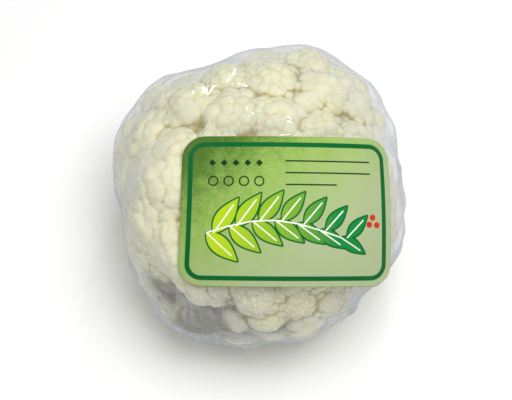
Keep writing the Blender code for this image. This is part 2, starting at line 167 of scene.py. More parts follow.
def note(mesh: bpy.types.Mesh, name: str, values: Numbers, domain: str = "POINT") -> None:
    """Keeps a number for each point or face of a mesh, for the finish to read."""
    layer = mesh.attributes.new(name, "FLOAT", domain)
    layer.data.foreach_set("value", values.astype(np.float32))


def in_metres(points: Numbers, centre_height: float) -> Numbers:
    """Returns places round the middle of the head as places over the floor, in metres."""
    return (points + np.array([0.0, 0.0, centre_height])) * MM


def unit(vectors: Numbers) -> Numbers:
    """Returns the same vectors, one long."""
    return vectors / np.linalg.norm(vectors, axis=-1, keepdims=True)


def ramp(values: Numbers, low: float, high: float) -> Numbers:
    """Returns a smooth step from 0 at low to 1 at high."""
    t = np.clip((values - low) / (high - low), 0, 1)
    return t * t * (3 - 2 * t)


def patch(x: Numbers, y: Numbers, middle: Pair, spread: Pair) -> Numbers:
    """Returns 1 at the middle of a soft oval patch, and less the further a place is from it."""
    across, up = (x - middle[0]) / spread[0], (y - middle[1]) / spread[1]
    return np.exp(-(across**2) - up**2)


def noise_at(places: Numbers) -> Numbers:
    """Returns smooth noise at each place."""
    return np.array([noise.noise(Vector(place)) for place in places])


def ridges(places: Numbers, sharpness: float) -> Numbers:
    """Returns thin crests of noise at these places, from 0 to 1."""
    return np.maximum(1 - 2.2 * np.abs(noise_at(places)), 0) ** sharpness


def golden_directions(count: int) -> Numbers:
    """Spreads directions evenly over the sphere, from +Z down.

    Args:
        count: how many.

    Returns:
        The directions.
    """
    k = np.arange(count) + 0.5
    z = 1 - 2 * k / count
    flat = np.sqrt(1 - z * z)
    turn = k * GOLDEN_ANGLE
    return np.column_stack([flat * np.cos(turn), flat * np.sin(turn), z])


def side_vectors(direction: Numbers) -> tuple[Numbers, Numbers]:
    """Finds two directions that are square to another and to each other.

    Args:
        direction: the other.

    Returns:
        The two.
    """
    helper = np.array([0.0, 0.0, 1.0]) if abs(direction[2]) < 0.9 else np.array([1.0, 0.0, 0.0])
    first = unit(np.cross(helper, direction))
    return first, np.cross(direction, first)


def search_tree(points: Numbers) -> KDTree:
    """Sorts points so that the nearest to a place are found fast.

    Args:
        points: the points.

    Returns:
        The tree, which gives each point's number.
    """
    tree = KDTree(len(points))
    for k, point in enumerate(points):
        tree.insert(point, k)
    tree.balance()
    return tree


@dataclass(frozen=True)
class Eye:
    """Where the head is looked at from, on the label's side."""

    distance: float = 728.0
    elevation: float = 66.0

    def axes(self) -> tuple[Numbers, Numbers, Numbers]:
        """Finds how the eye is turned.

        Returns:
            The directions to its right, up and towards it.
        """
        lift = math.radians(self.elevation)
        right = np.array([1.0, 0.0, 0.0])
        up = np.array([0.0, math.sin(lift), math.cos(lift)])
        towards = np.array([0.0, -math.cos(lift), math.sin(lift)])
        return right, up, towards


@dataclass
class HeadForm:
    """The head's form: a core, main florets on it and small florets on those."""

    centre_height: float = 57.0
    core_wide: float = 65.5
    core_deep: float = 69.5
    core_above: float = 54.0
    core_below: float = 40.0
    core_squareness: float = 2.35
    stalk_radius: float = 20.0
    branches: int = 13
    branch_relief: float = 2.4
    branches_below: float = -34.0
    leaf_bases: int = 6
    leaf_base_half_wide: float = 10.5
    leaf_base_thick: float = 6.5
    leaf_base_cut_at: float = 32.0
    leaf_base_lowest: float = 3.2
    widest_gap: float = 4.2
    gap_overlap: float = 2.4
    largest_filler: float = 13.0
    lowest_floret: float = -36.0
    lowest_small_floret: float = -42.0
    ball_radius: float = 1.36
    ball_stands: float = 0.56
    small_spacing: float = 9.5
    small_radius: float = 0.66
    small_stands: float = 0.20
    small_size_spread: float = 0.16
    widest_cap: float = 62.0
    seed: int = 27
    eye: Eye = field(default_factory=Eye)
    # Angle round the outline, tilt towards the eye, how far out, spread
    lobes: tuple[tuple[float, float, float, float], ...] = (
        (20, 0, -4.0, 14),
        (41, 0, 6.5, 9),
        (53, 0, -4.0, 7),
        (60, 0, 5.5, 24),
        (99, 0, -7.0, 21),
        (121, 0, -3.0, 9),
        (142, 0, 3.0, 9),
        (147, 0, 3.0, 20),
        (169, 0, 3.5, 8),
        (183, 0, -14.0, 12),
        (240, 0, 6.0, 18),
        (286, 0, 2.0, 9),
        (292, 0, 4.0, 14),
        (319, 0, -15.0, 12),
        (342, 0, 3.0, 9),
        (244, 30, -8.0, 13),
    )
    # Across, up and half width, as the eye sees them
    seen_florets: tuple[Triple, ...] = (
        (-55, 32, 12.0),
        (-37, 46, 12.5),
        (-42, 23, 10.5),
        (-15, 43, 13.5),
        (-18, 61, 10.5),
        (7, 60, 12.5),
        (11, 40, 12.5),
        (35, 54, 11.0),
        (50, 46, 9.5),
        (64, 42, 8.5),
        (34, 34, 10.0),
        (58, 29, 9.0),
        (-69, 15, 8.5),
        (-53, 6, 14.0),
        (-56, -12, 13.0),
        (-57, -29, 11.5),
        (-47, -41, 9.5),
        (0, -52, 10.5),
        (20, -55, 9.0),
        (36, -53, 9.5),
        (-10, -64, 7.5),
        (6, -68, 8.0),
        (24, -67, 7.5),
        (71, 1, 8.5),
        (68, -20, 8.0),
        (28, 70, 11.0),
        (-55, 51, 8.5),
        (50, -36, 9.0),
    )
    centres: Numbers = field(init=False)
    radii: Numbers = field(init=False)
    main_count: int = field(init=False)

    def __post_init__(self) -> None:
        """Grows the florets."""
        ways, widths = self.main_florets()
        radii = self.ball_radius * widths
        away = self.core_reach(ways) + self.ball_stands * widths - radii
        centres = ways * away[:, None]
        small_centres, small_radii = self.small_florets(ways, centres, radii)
        self.main_count = len(radii)
        self.centres = np.vstack([centres, small_centres])
        self.radii = np.concatenate([radii, small_radii])

    def core_reach(self, ways: Numbers) -> Numbers:
        """Finds how far the core reaches.

        Args:
            ways: directions from the middle of the head.

        Returns:
            The reach along each.
        """
        x, y, z = ways.T
        tall = np.where(z > 0, self.core_above, self.core_below)
        flat = np.hypot(x / self.core_wide, y / self.core_deep) ** self.core_squareness
        upright = (np.abs(z) / tall) ** self.core_squareness
        reach = (flat + upright) ** (-1 / self.core_squareness)
        around = np.arctan2(y, x)
        level = math.sin(math.radians(self.branches_below))
        under = np.clip((level - z) / 0.15, 0, 1) * np.clip((z + 0.92) / 0.12, 0, 1)
        ribs = np.cos(self.branches * around + 1.3 * np.sin(3 * around))
        reach = reach + self.branch_relief * under * ribs
        right, up, towards = self.eye.axes()
        for angle, tilt, out, spread in self.lobes:
            turn, lean = math.radians(angle), math.radians(tilt)
            rim = math.cos(turn) * right + math.sin(turn) * up
            lobe = math.cos(lean) * rim + math.sin(lean) * towards
            off = np.degrees(np.arccos(np.clip(ways @ lobe, -1, 1)))
            reach = reach + out * np.exp(-((off / spread) ** 2))
        return reach

    def stalk_reach(self, ways: Numbers) -> Numbers:
        """Finds how far the stalk reaches, cut off flat at the bottom.

        Args:
            ways: directions from the middle of the head.

        Returns:
            The reach along each, or 0 above the middle.
        """
        x, y, z = ways.T
        to_wall = self.stalk_radius / np.maximum(np.hypot(x, y), 1e-6)
        to_cut = self.centre_height / np.maximum(-z, 1e-6)
        return np.where(z < 0, np.minimum(to_wall, to_cut), 0.0)

    def leaf_bases_reach(self, ways: Numbers) -> tuple[Numbers, Numbers]:
        """Finds the bases of the cut leaves.

        Args:
            ways: directions from the middle of the head.

        Returns:
            How far the leaf bases reach along each, and how thick they are there, from 0 to 1.
        """
        under_core = self.core_reach(ways)
        from_axis = under_core * np.hypot(ways[:, 0], ways[:, 1])
        around = np.arctan2(ways[:, 1], ways[:, 0])
        thickness = np.zeros(len(ways))
        k = np.arange(self.leaf_bases)
        turns = 2 * math.pi * k / self.leaf_bases + 0.3 + 0.1 * np.sin(2.1 * k)
        for turn, length in zip(turns, 1 + 0.09 * np.sin(3.3 * k)):
            off = (around - turn + math.pi) % (2 * math.pi) - math.pi
            aside = off * np.maximum(from_axis, self.stalk_radius) / self.leaf_base_half_wide
            crescent = np.sqrt(np.maximum(1 - aside**2, 0))
            uncut = np.clip((1.04 - from_axis / (self.leaf_base_cut_at * length)) / 0.08, 0, 1)
            thickness = np.maximum(thickness, crescent * uncut)
        lowest = (self.centre_height - self.leaf_base_lowest) / np.maximum(-ways[:, 2], 1e-6)
        reach = np.minimum(under_core + self.leaf_base_thick * thickness, lowest)
        shown = (ways[:, 2] < 0) & (thickness > 0)
        return np.where(shown, reach, 0.0), thickness

    def seen_direction(self, across: float, up: float) -> Numbers:
        """Finds where a line of sight meets the core.

        Args:
            across: how far to the right the eye looks.
            up: how far up it looks.

        Returns:
            The direction to there from the middle of the head.
        """
        right, upward, towards = self.eye.axes()
        start = self.eye.distance * towards
        sight = unit(across * right + up * upward - start)
        steps = np.linspace(self.eye.distance - 120, self.eye.distance + 40, 400)
        points = start + steps[:, None] * sight
        depth = np.linalg.norm(points, axis=1) / self.core_reach(unit(points))
        inside = np.nonzero(depth <= 1)[0]
        return unit(points[inside[0] if len(inside) else depth.argmin()])

    def main_florets(self) -> tuple[Numbers, Numbers]:
        """Places the main florets: the seen ones, then fillers in the widest gaps.

        Returns:
            Their directions and half widths.
        """
        ways = [self.seen_direction(across, up) for across, up, _ in self.seen_florets]
        widths = [half_width for _, _, half_width in self.seen_florets]
        spots = golden_directions(6000)
        points = spots * self.core_reach(spots)[:, None]
        curd = spots[:, 2] > math.sin(math.radians(self.lowest_floret))
        spots, points = spots[curd], points[curd]
        gap = np.full(len(spots), 2 * self.core_wide)
        for way, half_width in zip(ways, widths):
            taken = way * self.core_reach(way[None])[0]
            gap = np.minimum(gap, np.linalg.norm(points - taken, axis=1) - half_width)
        while gap.max() > self.widest_gap:
            widest = gap.argmax()
            half_width = min(gap[widest] + self.gap_overlap, self.largest_filler)
            ways.append(spots[widest])
            widths.append(half_width)
            away = np.linalg.norm(points - points[widest], axis=1)
            gap = np.minimum(gap, away - half_width)
        return np.array(ways), np.array(widths)

    def small_florets(
        self, ways: Numbers, centres: Numbers, radii: Numbers
    ) -> tuple[Numbers, Numbers]:
        """Grows small florets in a golden-angle spiral on each main one.

        Args:
            ways: the main florets' directions.
            centres: the middles of their balls.
            radii: the radii of those.

        Returns:
            The small florets' middles and radii.
        """
        random = np.random.default_rng(self.seed)
        grown: list[Numbers] = []
        sizes: list[float] = []
        tops = np.zeros((0, 3))
        for way, centre, radius in zip(ways, centres, radii):
            first, second = side_vectors(way)
            start = random.uniform(0, 2 * math.pi)
            for k in range(60):
                tilt = 0.58 * self.small_spacing / radius * math.sqrt(k)
                if tilt > math.radians(self.widest_cap):
                    break
                turn = start + k * GOLDEN_ANGLE
                sideways = math.cos(turn) * first + math.sin(turn) * second
                outward = math.cos(tilt) * way + math.sin(tilt) * sideways
                spread = random.uniform(-self.small_size_spread, self.small_size_spread)
                size = self.small_spacing * (1 + spread)
                top = centre + outward * (radius + self.small_stands * size)
                reach = np.linalg.norm(top)
                along = (top / reach)[None]
                main = furthest_ball(along, centres, radii)[0][0]
                buried = reach < max(self.core_reach(along)[0], main)
                too_low = along[0, 2] < math.sin(math.radians(self.lowest_small_floret))
                near = np.linalg.norm(tops - top, axis=1)
                crowded = bool((near < 0.62 * self.small_spacing).any())
                if buried or too_low or crowded:
                    continue
                grown.append(top - outward * self.small_radius * size)
                sizes.append(self.small_radius * size)
                tops = np.vstack([tops, top])
        return np.array(grown), np.array(sizes)

    def reach(self, ways: Numbers) -> tuple[Numbers, Numbers, Numbers]:
        """Finds how far the whole head reaches.

        Args:
            ways: directions from the middle of the head.

        Returns:
            The reach, the ball that is outermost there or -1, and how thick a leaf base is there.
        """
        balls, owner = furthest_ball(ways, self.centres, self.radii)
        leaves, leaf = self.leaf_bases_reach(ways)
        rest = np.maximum(self.core_reach(ways), np.maximum(self.stalk_reach(ways), leaves))
        owner = np.where(balls > rest, owner, -1)
        leaf = np.where((leaves >= rest) & (leaves >= balls) & (leaves > 0), leaf, 0)
        return np.maximum(rest, balls), owner, leaf


def furthest_ball(ways: Numbers, centres: Numbers, radii: Numbers) -> tuple[Numbers, Numbers]:
    """Finds the ball that stands furthest out along each direction.

    Args:
        ways: directions from the middle of the head.
        centres: the balls' middles.
        radii: their radii.

    Returns:
        How far it reaches, 0 where no ball is met, and its number.
    """
    reach = np.zeros(len(ways))
    owner = np.zeros(len(ways), int)
    for start in range(0, len(ways), 8192):
        part = slice(start, start + 8192)
        along = ways[part] @ centres.T
        inside = radii**2 - (centres**2).sum(axis=1) + along**2
        out = np.where(inside > 0, along + np.sqrt(np.maximum(inside, 0)), 0.0)
        owner[part] = out.argmax(axis=1)
        reach[part] = out.max(axis=1)
    return reach, owner


@dataclass
class Net:
    """A mesh over the sphere, one point a direction, with the links between its points."""

    name: str
    cuts: int
    mesh: bpy.types.Mesh = field(init=False)
    ways: Numbers = field(init=False)
    ends: Numbers = field(init=False)

    def __post_init__(self) -> None:
        """Makes the net from a cube cut into squares and blown up to a ball."""
        shell = bmesh.new()
        bmesh.ops.create_cube(shell, size=2.0)
        bmesh.ops.subdivide_edges(shell, edges=shell.edges[:], cuts=self.cuts, use_grid_fill=True)
        self.mesh = bpy.data.meshes.new(self.name)
        shell.to_mesh(self.mesh)
        shell.free()
        flat = np.zeros(len(self.mesh.vertices) * 3, np.float32)
        self.mesh.vertices.foreach_get("co", flat)
        corners = flat.reshape(-1, 3).astype(float)
        self.ways = unit(np.tan(corners * math.pi / 4))
        links = np.zeros(len(self.mesh.edges) * 2, np.int32)
        self.mesh.edges.foreach_get("vertices", links)
        self.ends = links.reshape(-1, 2)

    def averaged(self, values: Numbers) -> Numbers:
        """Finds the mean of each point's neighbours.

        Args:
            values: a number for each point.

        Returns:
            The means.
        """
        a, b = self.ends.T
        count = len(self.ways)
        total = np.bincount(a, values[b], count) + np.bincount(b, values[a], count)
        links = np.bincount(a, minlength=count) + np.bincount(b, minlength=count)
        return total / links

    def blurred(self, values: Numbers, rounds: int) -> Numbers:
        """Spreads numbers over the points' neighbours.

        Args:
            values: a number for each point.
            rounds: how many times they are spread.

        Returns:
            The new numbers.
        """
        for _ in range(rounds):
            values = 0.5 * values + 0.5 * self.averaged(values)
        return values

    def eased(self, reach: Numbers, steepest: float, rounds: int) -> Numbers:
        """Raises the foot of slopes that are too steep.

        Args:
            reach: how far each point is out.
            steepest: the most rise for each millimetre sideways.
            rounds: how many links in a row may pass a rise on.

        Returns:
            The new reach.
        """
        a, b = self.ends.T
        apart = np.linalg.norm(self.ways[a] - self.ways[b], axis=1)
        for _ in range(rounds):
            low = np.where(reach[a] < reach[b], a, b)
            high = np.where(reach[a] < reach[b], b, a)
            foot = reach[high] - steepest * apart * reach[low]
            reach = reach.copy()
            np.maximum.at(reach, low, foot)
        return reach

    def normals(self, points: Numbers) -> Numbers:
        """Finds the net's outward directions.

        Args:
            points: where the net's points are.

        Returns:
            The outward direction at each.
        """
        self.mesh.vertices.foreach_set("co", points.astype(np.float32).ravel())
        self.mesh.update()
        flat = np.zeros(len(points) * 3, np.float32)
        self.mesh.vertices.foreach_get("normal", flat)
        return flat.reshape(-1, 3).astype(float)

    def shape(self, points: Numbers, centre_height: float) -> None:
        """Moves the net's points to their places.

        Args:
            points: the places, round the middle of the head.
            centre_height: how high that is.
        """
        places = in_metres(points, centre_height)
        self.mesh.vertices.foreach_set("co", places.astype(np.float32).ravel())
        self.mesh.update()
        self.mesh.shade_smooth()


def skin_reach(solid: bpy.types.Mesh, ways: Numbers, centre_height: float) -> Numbers:
    """Finds how far out a mesh has its outermost skin.

    Args:
        solid: the mesh.
        ways: directions from the middle of the head.
        centre_height: how high that is.

    Returns:
        The reach along each direction, or 0 where the mesh is open.
    """
    places = [vert.co / MM for vert in solid.vertices]
    tree = BVHTree.FromPolygons(places, [face.vertices[:] for face in solid.polygons])
    centre = Vector((0, 0, centre_height))
    beyond_all = 130.0
    reach = np.zeros(len(ways))
    for k, way in enumerate(ways):
        step = Vector(way)
        hit = tree.ray_cast(centre + step * beyond_all, -step, beyond_all)
        if hit[0] is not None:
            reach[k] = beyond_all - hit[3]
    return reach


def place(mesh: bpy.types.Mesh, node: str, slot: str, finish: bpy.types.Material) -> None:
    """Puts a piece in the scene, in place of the solid that it stands for.

    Args:
        mesh: the piece's mesh, whose name becomes the piece's.
        node: the solid that it replaces.
        slot: the record's material slot; not used.
        finish: its material.
    """
    piece = put_in_scene(mesh.name, mesh)
    mesh.materials.append(finish)
    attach(piece, "root")
    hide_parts(node)
    LOG.info("%s: %d faces, in place of %s", piece.name, len(mesh.polygons), node)


@dataclass(frozen=True)
class CurdFlesh:
    """Raw cauliflower curd: dense buds with a waxy skin, which scatter light a little."""

    cream: str = "#F3F3DC"
    warm: str = "#E8E1B0"
    crease: str = "#C7BB68"
    deep: str = "#A08D4A"
    shade: str = "#53492F"
    blemish: str = "#8C6A32"
    leaf: str = "#C3D29A"
    stalk: str = "#E3E3BE"
    speck: str = "#B08B50"
    roughness: float = 0.55
    patch_size: float = 14.0
    speck_spacing: float = 13.0
    grain_size: float = 0.8
    grain_height: float = 0.3

    def layers(self) -> tuple[tuple[str, float, float, float, str], ...]:
        """Lists the tints that lie over the cream: the crease, hollow, knob and bud tints are
        partly real yellowing and partly painted shade, and the shade tint is painted shade.

        Returns:
            For each, the number that brings it, where it starts, where it shows most, how much
            of it shows there, and its colour.
        """
        return (
            ("bud", 0.62, 1.0, 0.45, self.crease),
            ("knob", 0.66, 1.0, 0.34, self.crease),
            ("crease", 0.2, 1.0, 0.95, self.crease),
            ("hollow", 0.3, 1.0, 0.8, self.deep),
            ("shade", 0.1, 1.0, 0.8, self.shade),
            ("stalk", 0.0, 1.0, 0.9, self.stalk),
            ("leaf", 0.0, 0.35, 0.95, self.leaf),
            ("blemish", 0.2, 1.0, 0.85, self.blemish),
        )

    def material(self) -> bpy.types.Material:
        """Makes the finish: cream on the florets, straw in the creases and hollows that is partly
        real yellowing and partly painted shade, painted shade in the cleft and on the lowest rim,
        and green leaf bases.

        Returns:
            The material.
        """
        made, tree = start_material("cauliflower_curd")
        skin = tree.nodes["Principled BSDF"]
        where = add_node(tree, "TexCoord").outputs["Object"]

        # Patches where the curd has yellowed a little
        wide = {"Scale": 1 / (self.patch_size * MM), "Detail": 3.0, "Roughness": 0.6}
        patches = add_node(tree, "TexNoise", {"Vector": where, **wide}).outputs["Fac"]
        ends = {6: linear(self.cream), 7: linear(self.warm)}
        colour = add_node(tree, "Mix", {0: patches, **ends}, data_type="RGBA").outputs[2]
        for name, low, high, most, tint in self.layers():
            amount = add_node(tree, "Attribute", attribute_name=name).outputs["Fac"]
            colour = tinted(tree, colour, linear(tint), amount, low, high, most)

        # Brown specks 1 to 2 mm across, where the skin passes near the middle of a cell
        cells = add_node(
            tree, "TexVoronoi", {"Vector": where, "Scale": 1 / (self.speck_spacing * MM)}
        )
        away = cells.outputs["Distance"]
        colour = tinted(tree, colour, linear(self.speck), away, 0.075, 0.03, 0.75)
        tree.links.new(colour, skin.inputs["Base Color"])

        # The grain of single buds is too fine for the mesh and is drawn as bump
        fine = {"Scale": 1 / (self.grain_size * MM), "Smoothness": 0.4}
        grain = add_node(tree, "TexVoronoi", {"Vector": where, **fine}, feature="SMOOTH_F1")
        relief = {"Strength": 0.6, "Distance": self.grain_height * MM}
        heights = grain.outputs["Distance"]
        bump = add_node(tree, "Bump", {"Height": heights, **relief}, invert=True)
        tree.links.new(bump.outputs[0], skin.inputs["Normal"])
        skin.inputs["Roughness"].default_value = self.roughness
        skin.inputs["IOR"].default_value = 1.4
        skin.inputs["Subsurface Weight"].default_value = 0.45
        skin.inputs["Subsurface Radius"].default_value = (1.0, 0.85, 0.6)
        skin.inputs["Subsurface Scale"].default_value = 2.4 * MM
        return made


@dataclass(frozen=True)
class Buds:
    """One size of bumps on the curd."""

    spacing: float
    height: float
    size_spread: float
    roundness: float = 0.6

    def tops(self, points: Numbers, random: np.random.Generator) -> tuple[Numbers, Numbers]:
        """Picks points for the bumps' tops, in random order and not too near each other.

        Args:
            points: places on the curd.
            random: the seeded generator.

        Returns:
            The tops, and each bump's size beside the usual one.
        """
        tree = search_tree(points)
        taken = np.zeros(len(points), bool)
        picked, sizes = [], []
        for k in random.permutation(len(points)):
            if taken[k]:
                continue
            size = random.uniform(1 - self.size_spread, 1 + self.size_spread)
            picked.append(k)
            sizes.append(size)
            for _, near, _ in tree.find_range(points[k], self.spacing * size):
                taken[near] = True
        return points[picked], np.array(sizes)

    def raised(self, points: Numbers, random: np.random.Generator) -> tuple[Numbers, Numbers]:
        """Finds how far the bumps stand out.

        Args:
            points: places on the curd.
            random: the seeded generator.

        Returns:
            The rise of each place, and how near it is to the crease round its bump, from 0 to 1.
        """
        tops, sizes = self.tops(points, random)
        tree = search_tree(tops)
        found = [tree.find_n(point, 4) for point in points]
        which = np.array([[hit[1] for hit in hits] for hits in found])
        away = np.array([[hit[2] for hit in hits] for hits in found]) / sizes[which]
        nearest = away.argmin(axis=1)
        away = np.sort(away, axis=1)
        off = 2 * away[:, 0] / (away[:, 0] + away[:, 1])
        owner = which[np.arange(len(points)), nearest]
        tallness = random.uniform(0.55, 1.3, len(tops)) * sizes
        dome = np.maximum(1 - off**2, 0) ** self.roundness
        return self.height * tallness[owner] * dome, off


@dataclass
class Curd:
    """The head: the form's florets covered with buds, and the cut stalk under them."""

    form: HeadForm
    finish: CurdFlesh
    cuts: int = 149
    knobs: Buds = Buds(spacing=4.2, height=0.52, size_spread=0.45)
    buds: Buds = Buds(spacing=1.9, height=0.36, size_spread=0.3)
    sunk: float = 0.6
    steepest: float = 1.7
    easing_rounds: int = 10
    # Sines of the angle up, and for the stalk down, between which each of them sets in
    curd_from: Pair = (-0.70, -0.50)
    buds_from: Pair = (-0.72, -0.55)
    stalk_below: Pair = (0.80, 0.90)
    # Gaps between the florets, what fills them, and the share of the relief that is kept
    gap_depth: float = 0.9
    deepest_crease: float = 2.2
    deeper_under: float = 9.0
    level_rounds: int = 60
    relief: float = 0.72
    gap_floret: Buds = Buds(spacing=5.2, height=0.0, size_spread=0.25)
    gap_floret_radius: float = 4.4
    # Depths at which creases and hollows have their full tint, partly real yellowing and partly
    # painted shade, and the blurs that find them
    full_crease: float = 0.8
    full_hollow: float = 3.6
    crease_rounds: int = 24
    hollow_rounds: int = 400
    # Brown marks: across, up and radius, as the eye sees them
    blemishes: tuple[Triple, ...] = ((36, 61, 1.9), (-20, 17, 0.9), (-58, 29, 0.8))
    # Where the florets fall back, the branches show and painted shade darkens the colour: across,
    # up and spread in degrees
    clefts: tuple[Triple, ...] = ((-43, -46, 12), (-31, -57, 15))
    # How deep that is, and the shares of the relief and the buds that are left there
    cleft_depth: float = 1.8
    cleft_relief: float = 0.45
    cleft_buds: float = 0.3
    branch_rise: float = 0.7
    branch_count: int = 57
    # The florets this far left and below this height are drawn up to the film
    drawn_left: Pair = (20, 38)
    drawn_below: Pair = (18, 36)
    drawn_share: float = 0.9
    under_wrap: float = 1.0
    # Where the film flattens their buds, and the share that is left
    pressed_at: Pair = (-55, 2)
    pressed_spread: Pair = (17, 26)
    pressed_buds: float = 0.4
    # How strong the buds are in the calmest patches, and how much stronger elsewhere
    calmest: float = 0.66
    livelier: float = 0.34
    # How far down the lowest florets and their rim of painted shade begin, and how dark that
    # painted shade is
    low_from: Pair = (38, 50)
    rim_from: Pair = (57, 67)
    rim_shade: float = 0.6

    def fallen_back(self, ways: Numbers) -> Numbers:
        """Finds where the florets fall back.

        Args:
            ways: directions from the middle of the head.

        Returns:
            How much of a cleft is at each, from 0 to 1.
        """
        cleft = np.zeros(len(ways))
        for across, up, spread in self.clefts:
            middle = self.form.seen_direction(across, up)
            off = np.degrees(np.arccos(np.clip(ways @ middle, -1, 1)))
            cleft = np.maximum(cleft, np.minimum(1.15 * np.exp(-((off / spread) ** 2)), 1))
        return cleft

    def branches(self, ways: Numbers) -> Numbers:
        """Finds the bare branches, which fan out from the stalk and wander a little.

        Args:
            ways: directions from the middle of the head.

        Returns:
            How near the crest of a branch each is, from 0 to 1.
        """
        around = np.arctan2(ways[:, 1], ways[:, 0])
        wander = noise_at(ways * 5.0)
        return 0.5 + 0.5 * np.cos(self.branch_count * around + 9 * wander + 4 * ways[:, 2])

    def filled(
        self,
        net: Net,
        reach: Numbers,
        upper: Numbers,
        cleft: Numbers,
        random: np.random.Generator,
    ) -> Numbers:
        """Fills the gaps between the florets with the smallest florets.

        Args:
            net: the head's net.
            reach: how far the florets reach.
            upper: 1 where curd grows, down to 0 on the underside.
            cleft: how much of a cleft is there.
            random: the seeded generator.

        Returns:
            The new reach.
        """
        level = net.blurred(reach, self.level_rounds)
        gaps = (level - reach > self.gap_depth) & (upper > 0.5)
        tops, sizes = self.gap_floret.tops((net.ways * level[:, None])[gaps], random)
        radii = self.gap_floret_radius * sizes
        away = np.linalg.norm(tops, axis=1)
        centres = tops * ((away + random.uniform(-1.2, 0.6, len(away)) - radii) / away)[:, None]
        small = furthest_ball(net.ways, centres, radii)[0]
        foot = level - self.deepest_crease - self.deeper_under * (1 - upper)
        full = np.maximum(reach, np.maximum(upper * small, foot))
        level = net.blurred(full, self.level_rounds)
        relief = self.relief * (1 - (1 - self.cleft_relief) * cleft)
        return level + (full - level) * (1 - upper * (1 - relief)) - self.cleft_depth * cleft

    def drawn_up(
        self, net: Net, reach: Numbers, cleft: Numbers, seen_x: Numbers, seen_y: Numbers
    ) -> Numbers:
        """Draws the florets on the left up to the film.

        Args:
            net: the head's net.
            reach: how far the florets reach.
            cleft: how much of a cleft is there.
            seen_x: where each point is across, as the eye sees it.
            seen_y: where it is up.

        Returns:
            The new reach.
        """
        wrap = skin_reach(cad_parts["film"].data, net.ways, self.form.centre_height)
        room = np.maximum(wrap - self.under_wrap, reach)
        slack = net.blurred(room - reach, self.level_rounds)
        tight = ramp(-seen_x, *self.drawn_left) * (1 - ramp(seen_y, *self.drawn_below))
        tight = tight * (1 - cleft)
        return np.minimum(reach + self.drawn_share * tight * slack, room)

    def budding(
        self, ways: Numbers, cleft: Numbers, seen_x: Numbers, seen_y: Numbers
    ) -> Numbers:
        """Finds how strongly the buds show: less in calm patches, in the cleft and where pressed.

        Args:
            ways: directions from the middle of the head.
            cleft: how much of a cleft is there.
            seen_x: where each point is across, as the eye sees it.
            seen_y: where it is up.

        Returns:
            The strength at each, from 0 to 1.
        """
        curd = ramp(ways[:, 2], *self.buds_from)
        lively = self.calmest + self.livelier * ramp(noise_at(ways * 2.6), -0.35, 0.1)
        pressed = patch(seen_x, seen_y, self.pressed_at, self.pressed_spread)
        strength = curd * lively * (1 - (1 - self.pressed_buds) * pressed)
        return strength * (1 - (1 - self.cleft_buds) * cleft)

    def blemished(self, ways: Numbers, reach: Numbers) -> Numbers:
        """Finds the brown marks.

        Args:
            ways: directions from the middle of the head.
            reach: how far the florets reach.

        Returns:
            How brown each place is, from 0 to 1.
        """
        mark = np.zeros(len(reach))
        for across, up, radius in self.blemishes:
            spot = self.form.seen_direction(across, up)
            off = np.arccos(np.clip(ways @ spot, -1, 1)) * reach
            mark = np.maximum(mark, 1 - ramp(off, 0.3 * radius, 1.2 * radius))
        return mark

    def build(self) -> None:
        """Makes the head and puts it in place of its solid."""
        random = np.random.default_rng(self.form.seed + 1)
        net = Net("curd", self.cuts)
        ways = net.ways
        reach, owner, leaf = self.form.reach(ways)
        reach = net.eased(reach, self.steepest, self.easing_rounds)
        upper = ramp(ways[:, 2], *self.curd_from)
        cleft = self.fallen_back(ways)
        branch = self.branches(ways)
        reach = self.filled(net, reach, upper, cleft, random)
        reach = reach + self.branch_rise * cleft * branch
        right, up, towards = self.form.eye.axes()
        seen_x, seen_y = (ways @ right) * reach, (ways @ up) * reach
        reach = self.drawn_up(net, reach, cleft, seen_x, seen_y)
        crease = (net.blurred(reach, self.crease_rounds) - reach) / self.full_crease
        hollow = (net.blurred(reach, self.hollow_rounds) - reach) / self.full_hollow
        budding = self.budding(ways, cleft, seen_x, seen_y)

        # The lowest florets on the eye's side have lower knobs, higher buds, and creases and
        # hollows darkened with painted shade
        low = ramp(-seen_y, *self.low_from) * ramp(ways @ towards, -0.15, 0.15)
        points = ways * (reach - self.sunk * budding)[:, None]
        knob, knob_off = self.knobs.raised(points, random)
        points = points + net.normals(points) * (budding * knob * (1 - 0.45 * low))[:, None]
        bud, bud_off = self.buds.raised(points, random)
        points = points + net.normals(points) * (budding * bud * (1 + 0.9 * low))[:, None]
        points[:, 2] = np.maximum(points[:, 2], -self.form.centre_height)
        net.shape(points, self.form.centre_height)

        stalk = ramp(-ways[:, 2], *self.stalk_below) * (owner < 0)
        # Painted shade: the cleft, a rim along the lowest florets and the hollows among them are
        # darkened in colour
        rim = self.rim_shade * ramp(-seen_y, *self.rim_from) * low
        shade = cleft * (1.0 - 0.15 * branch) + rim + 0.9 * low * hollow
        notes = {
            "crease": np.clip(crease * (1 + 1.2 * low), 0, 1),
            "hollow": np.clip(hollow, 0, 1) * (1 - 0.6 * stalk),
            "shade": np.clip(shade, 0, 1),
            "leaf": leaf,
            "stalk": stalk,
            "blemish": self.blemished(ways, reach),
            "knob": knob_off * budding * (1 - 0.3 * low),
            "bud": bud_off * budding * (0.72 + 0.28 * low),
        }
        for name, values in notes.items():
            note(net.mesh, name, values)
        place(net.mesh, "cauliflower_head", "curd", self.finish.material())


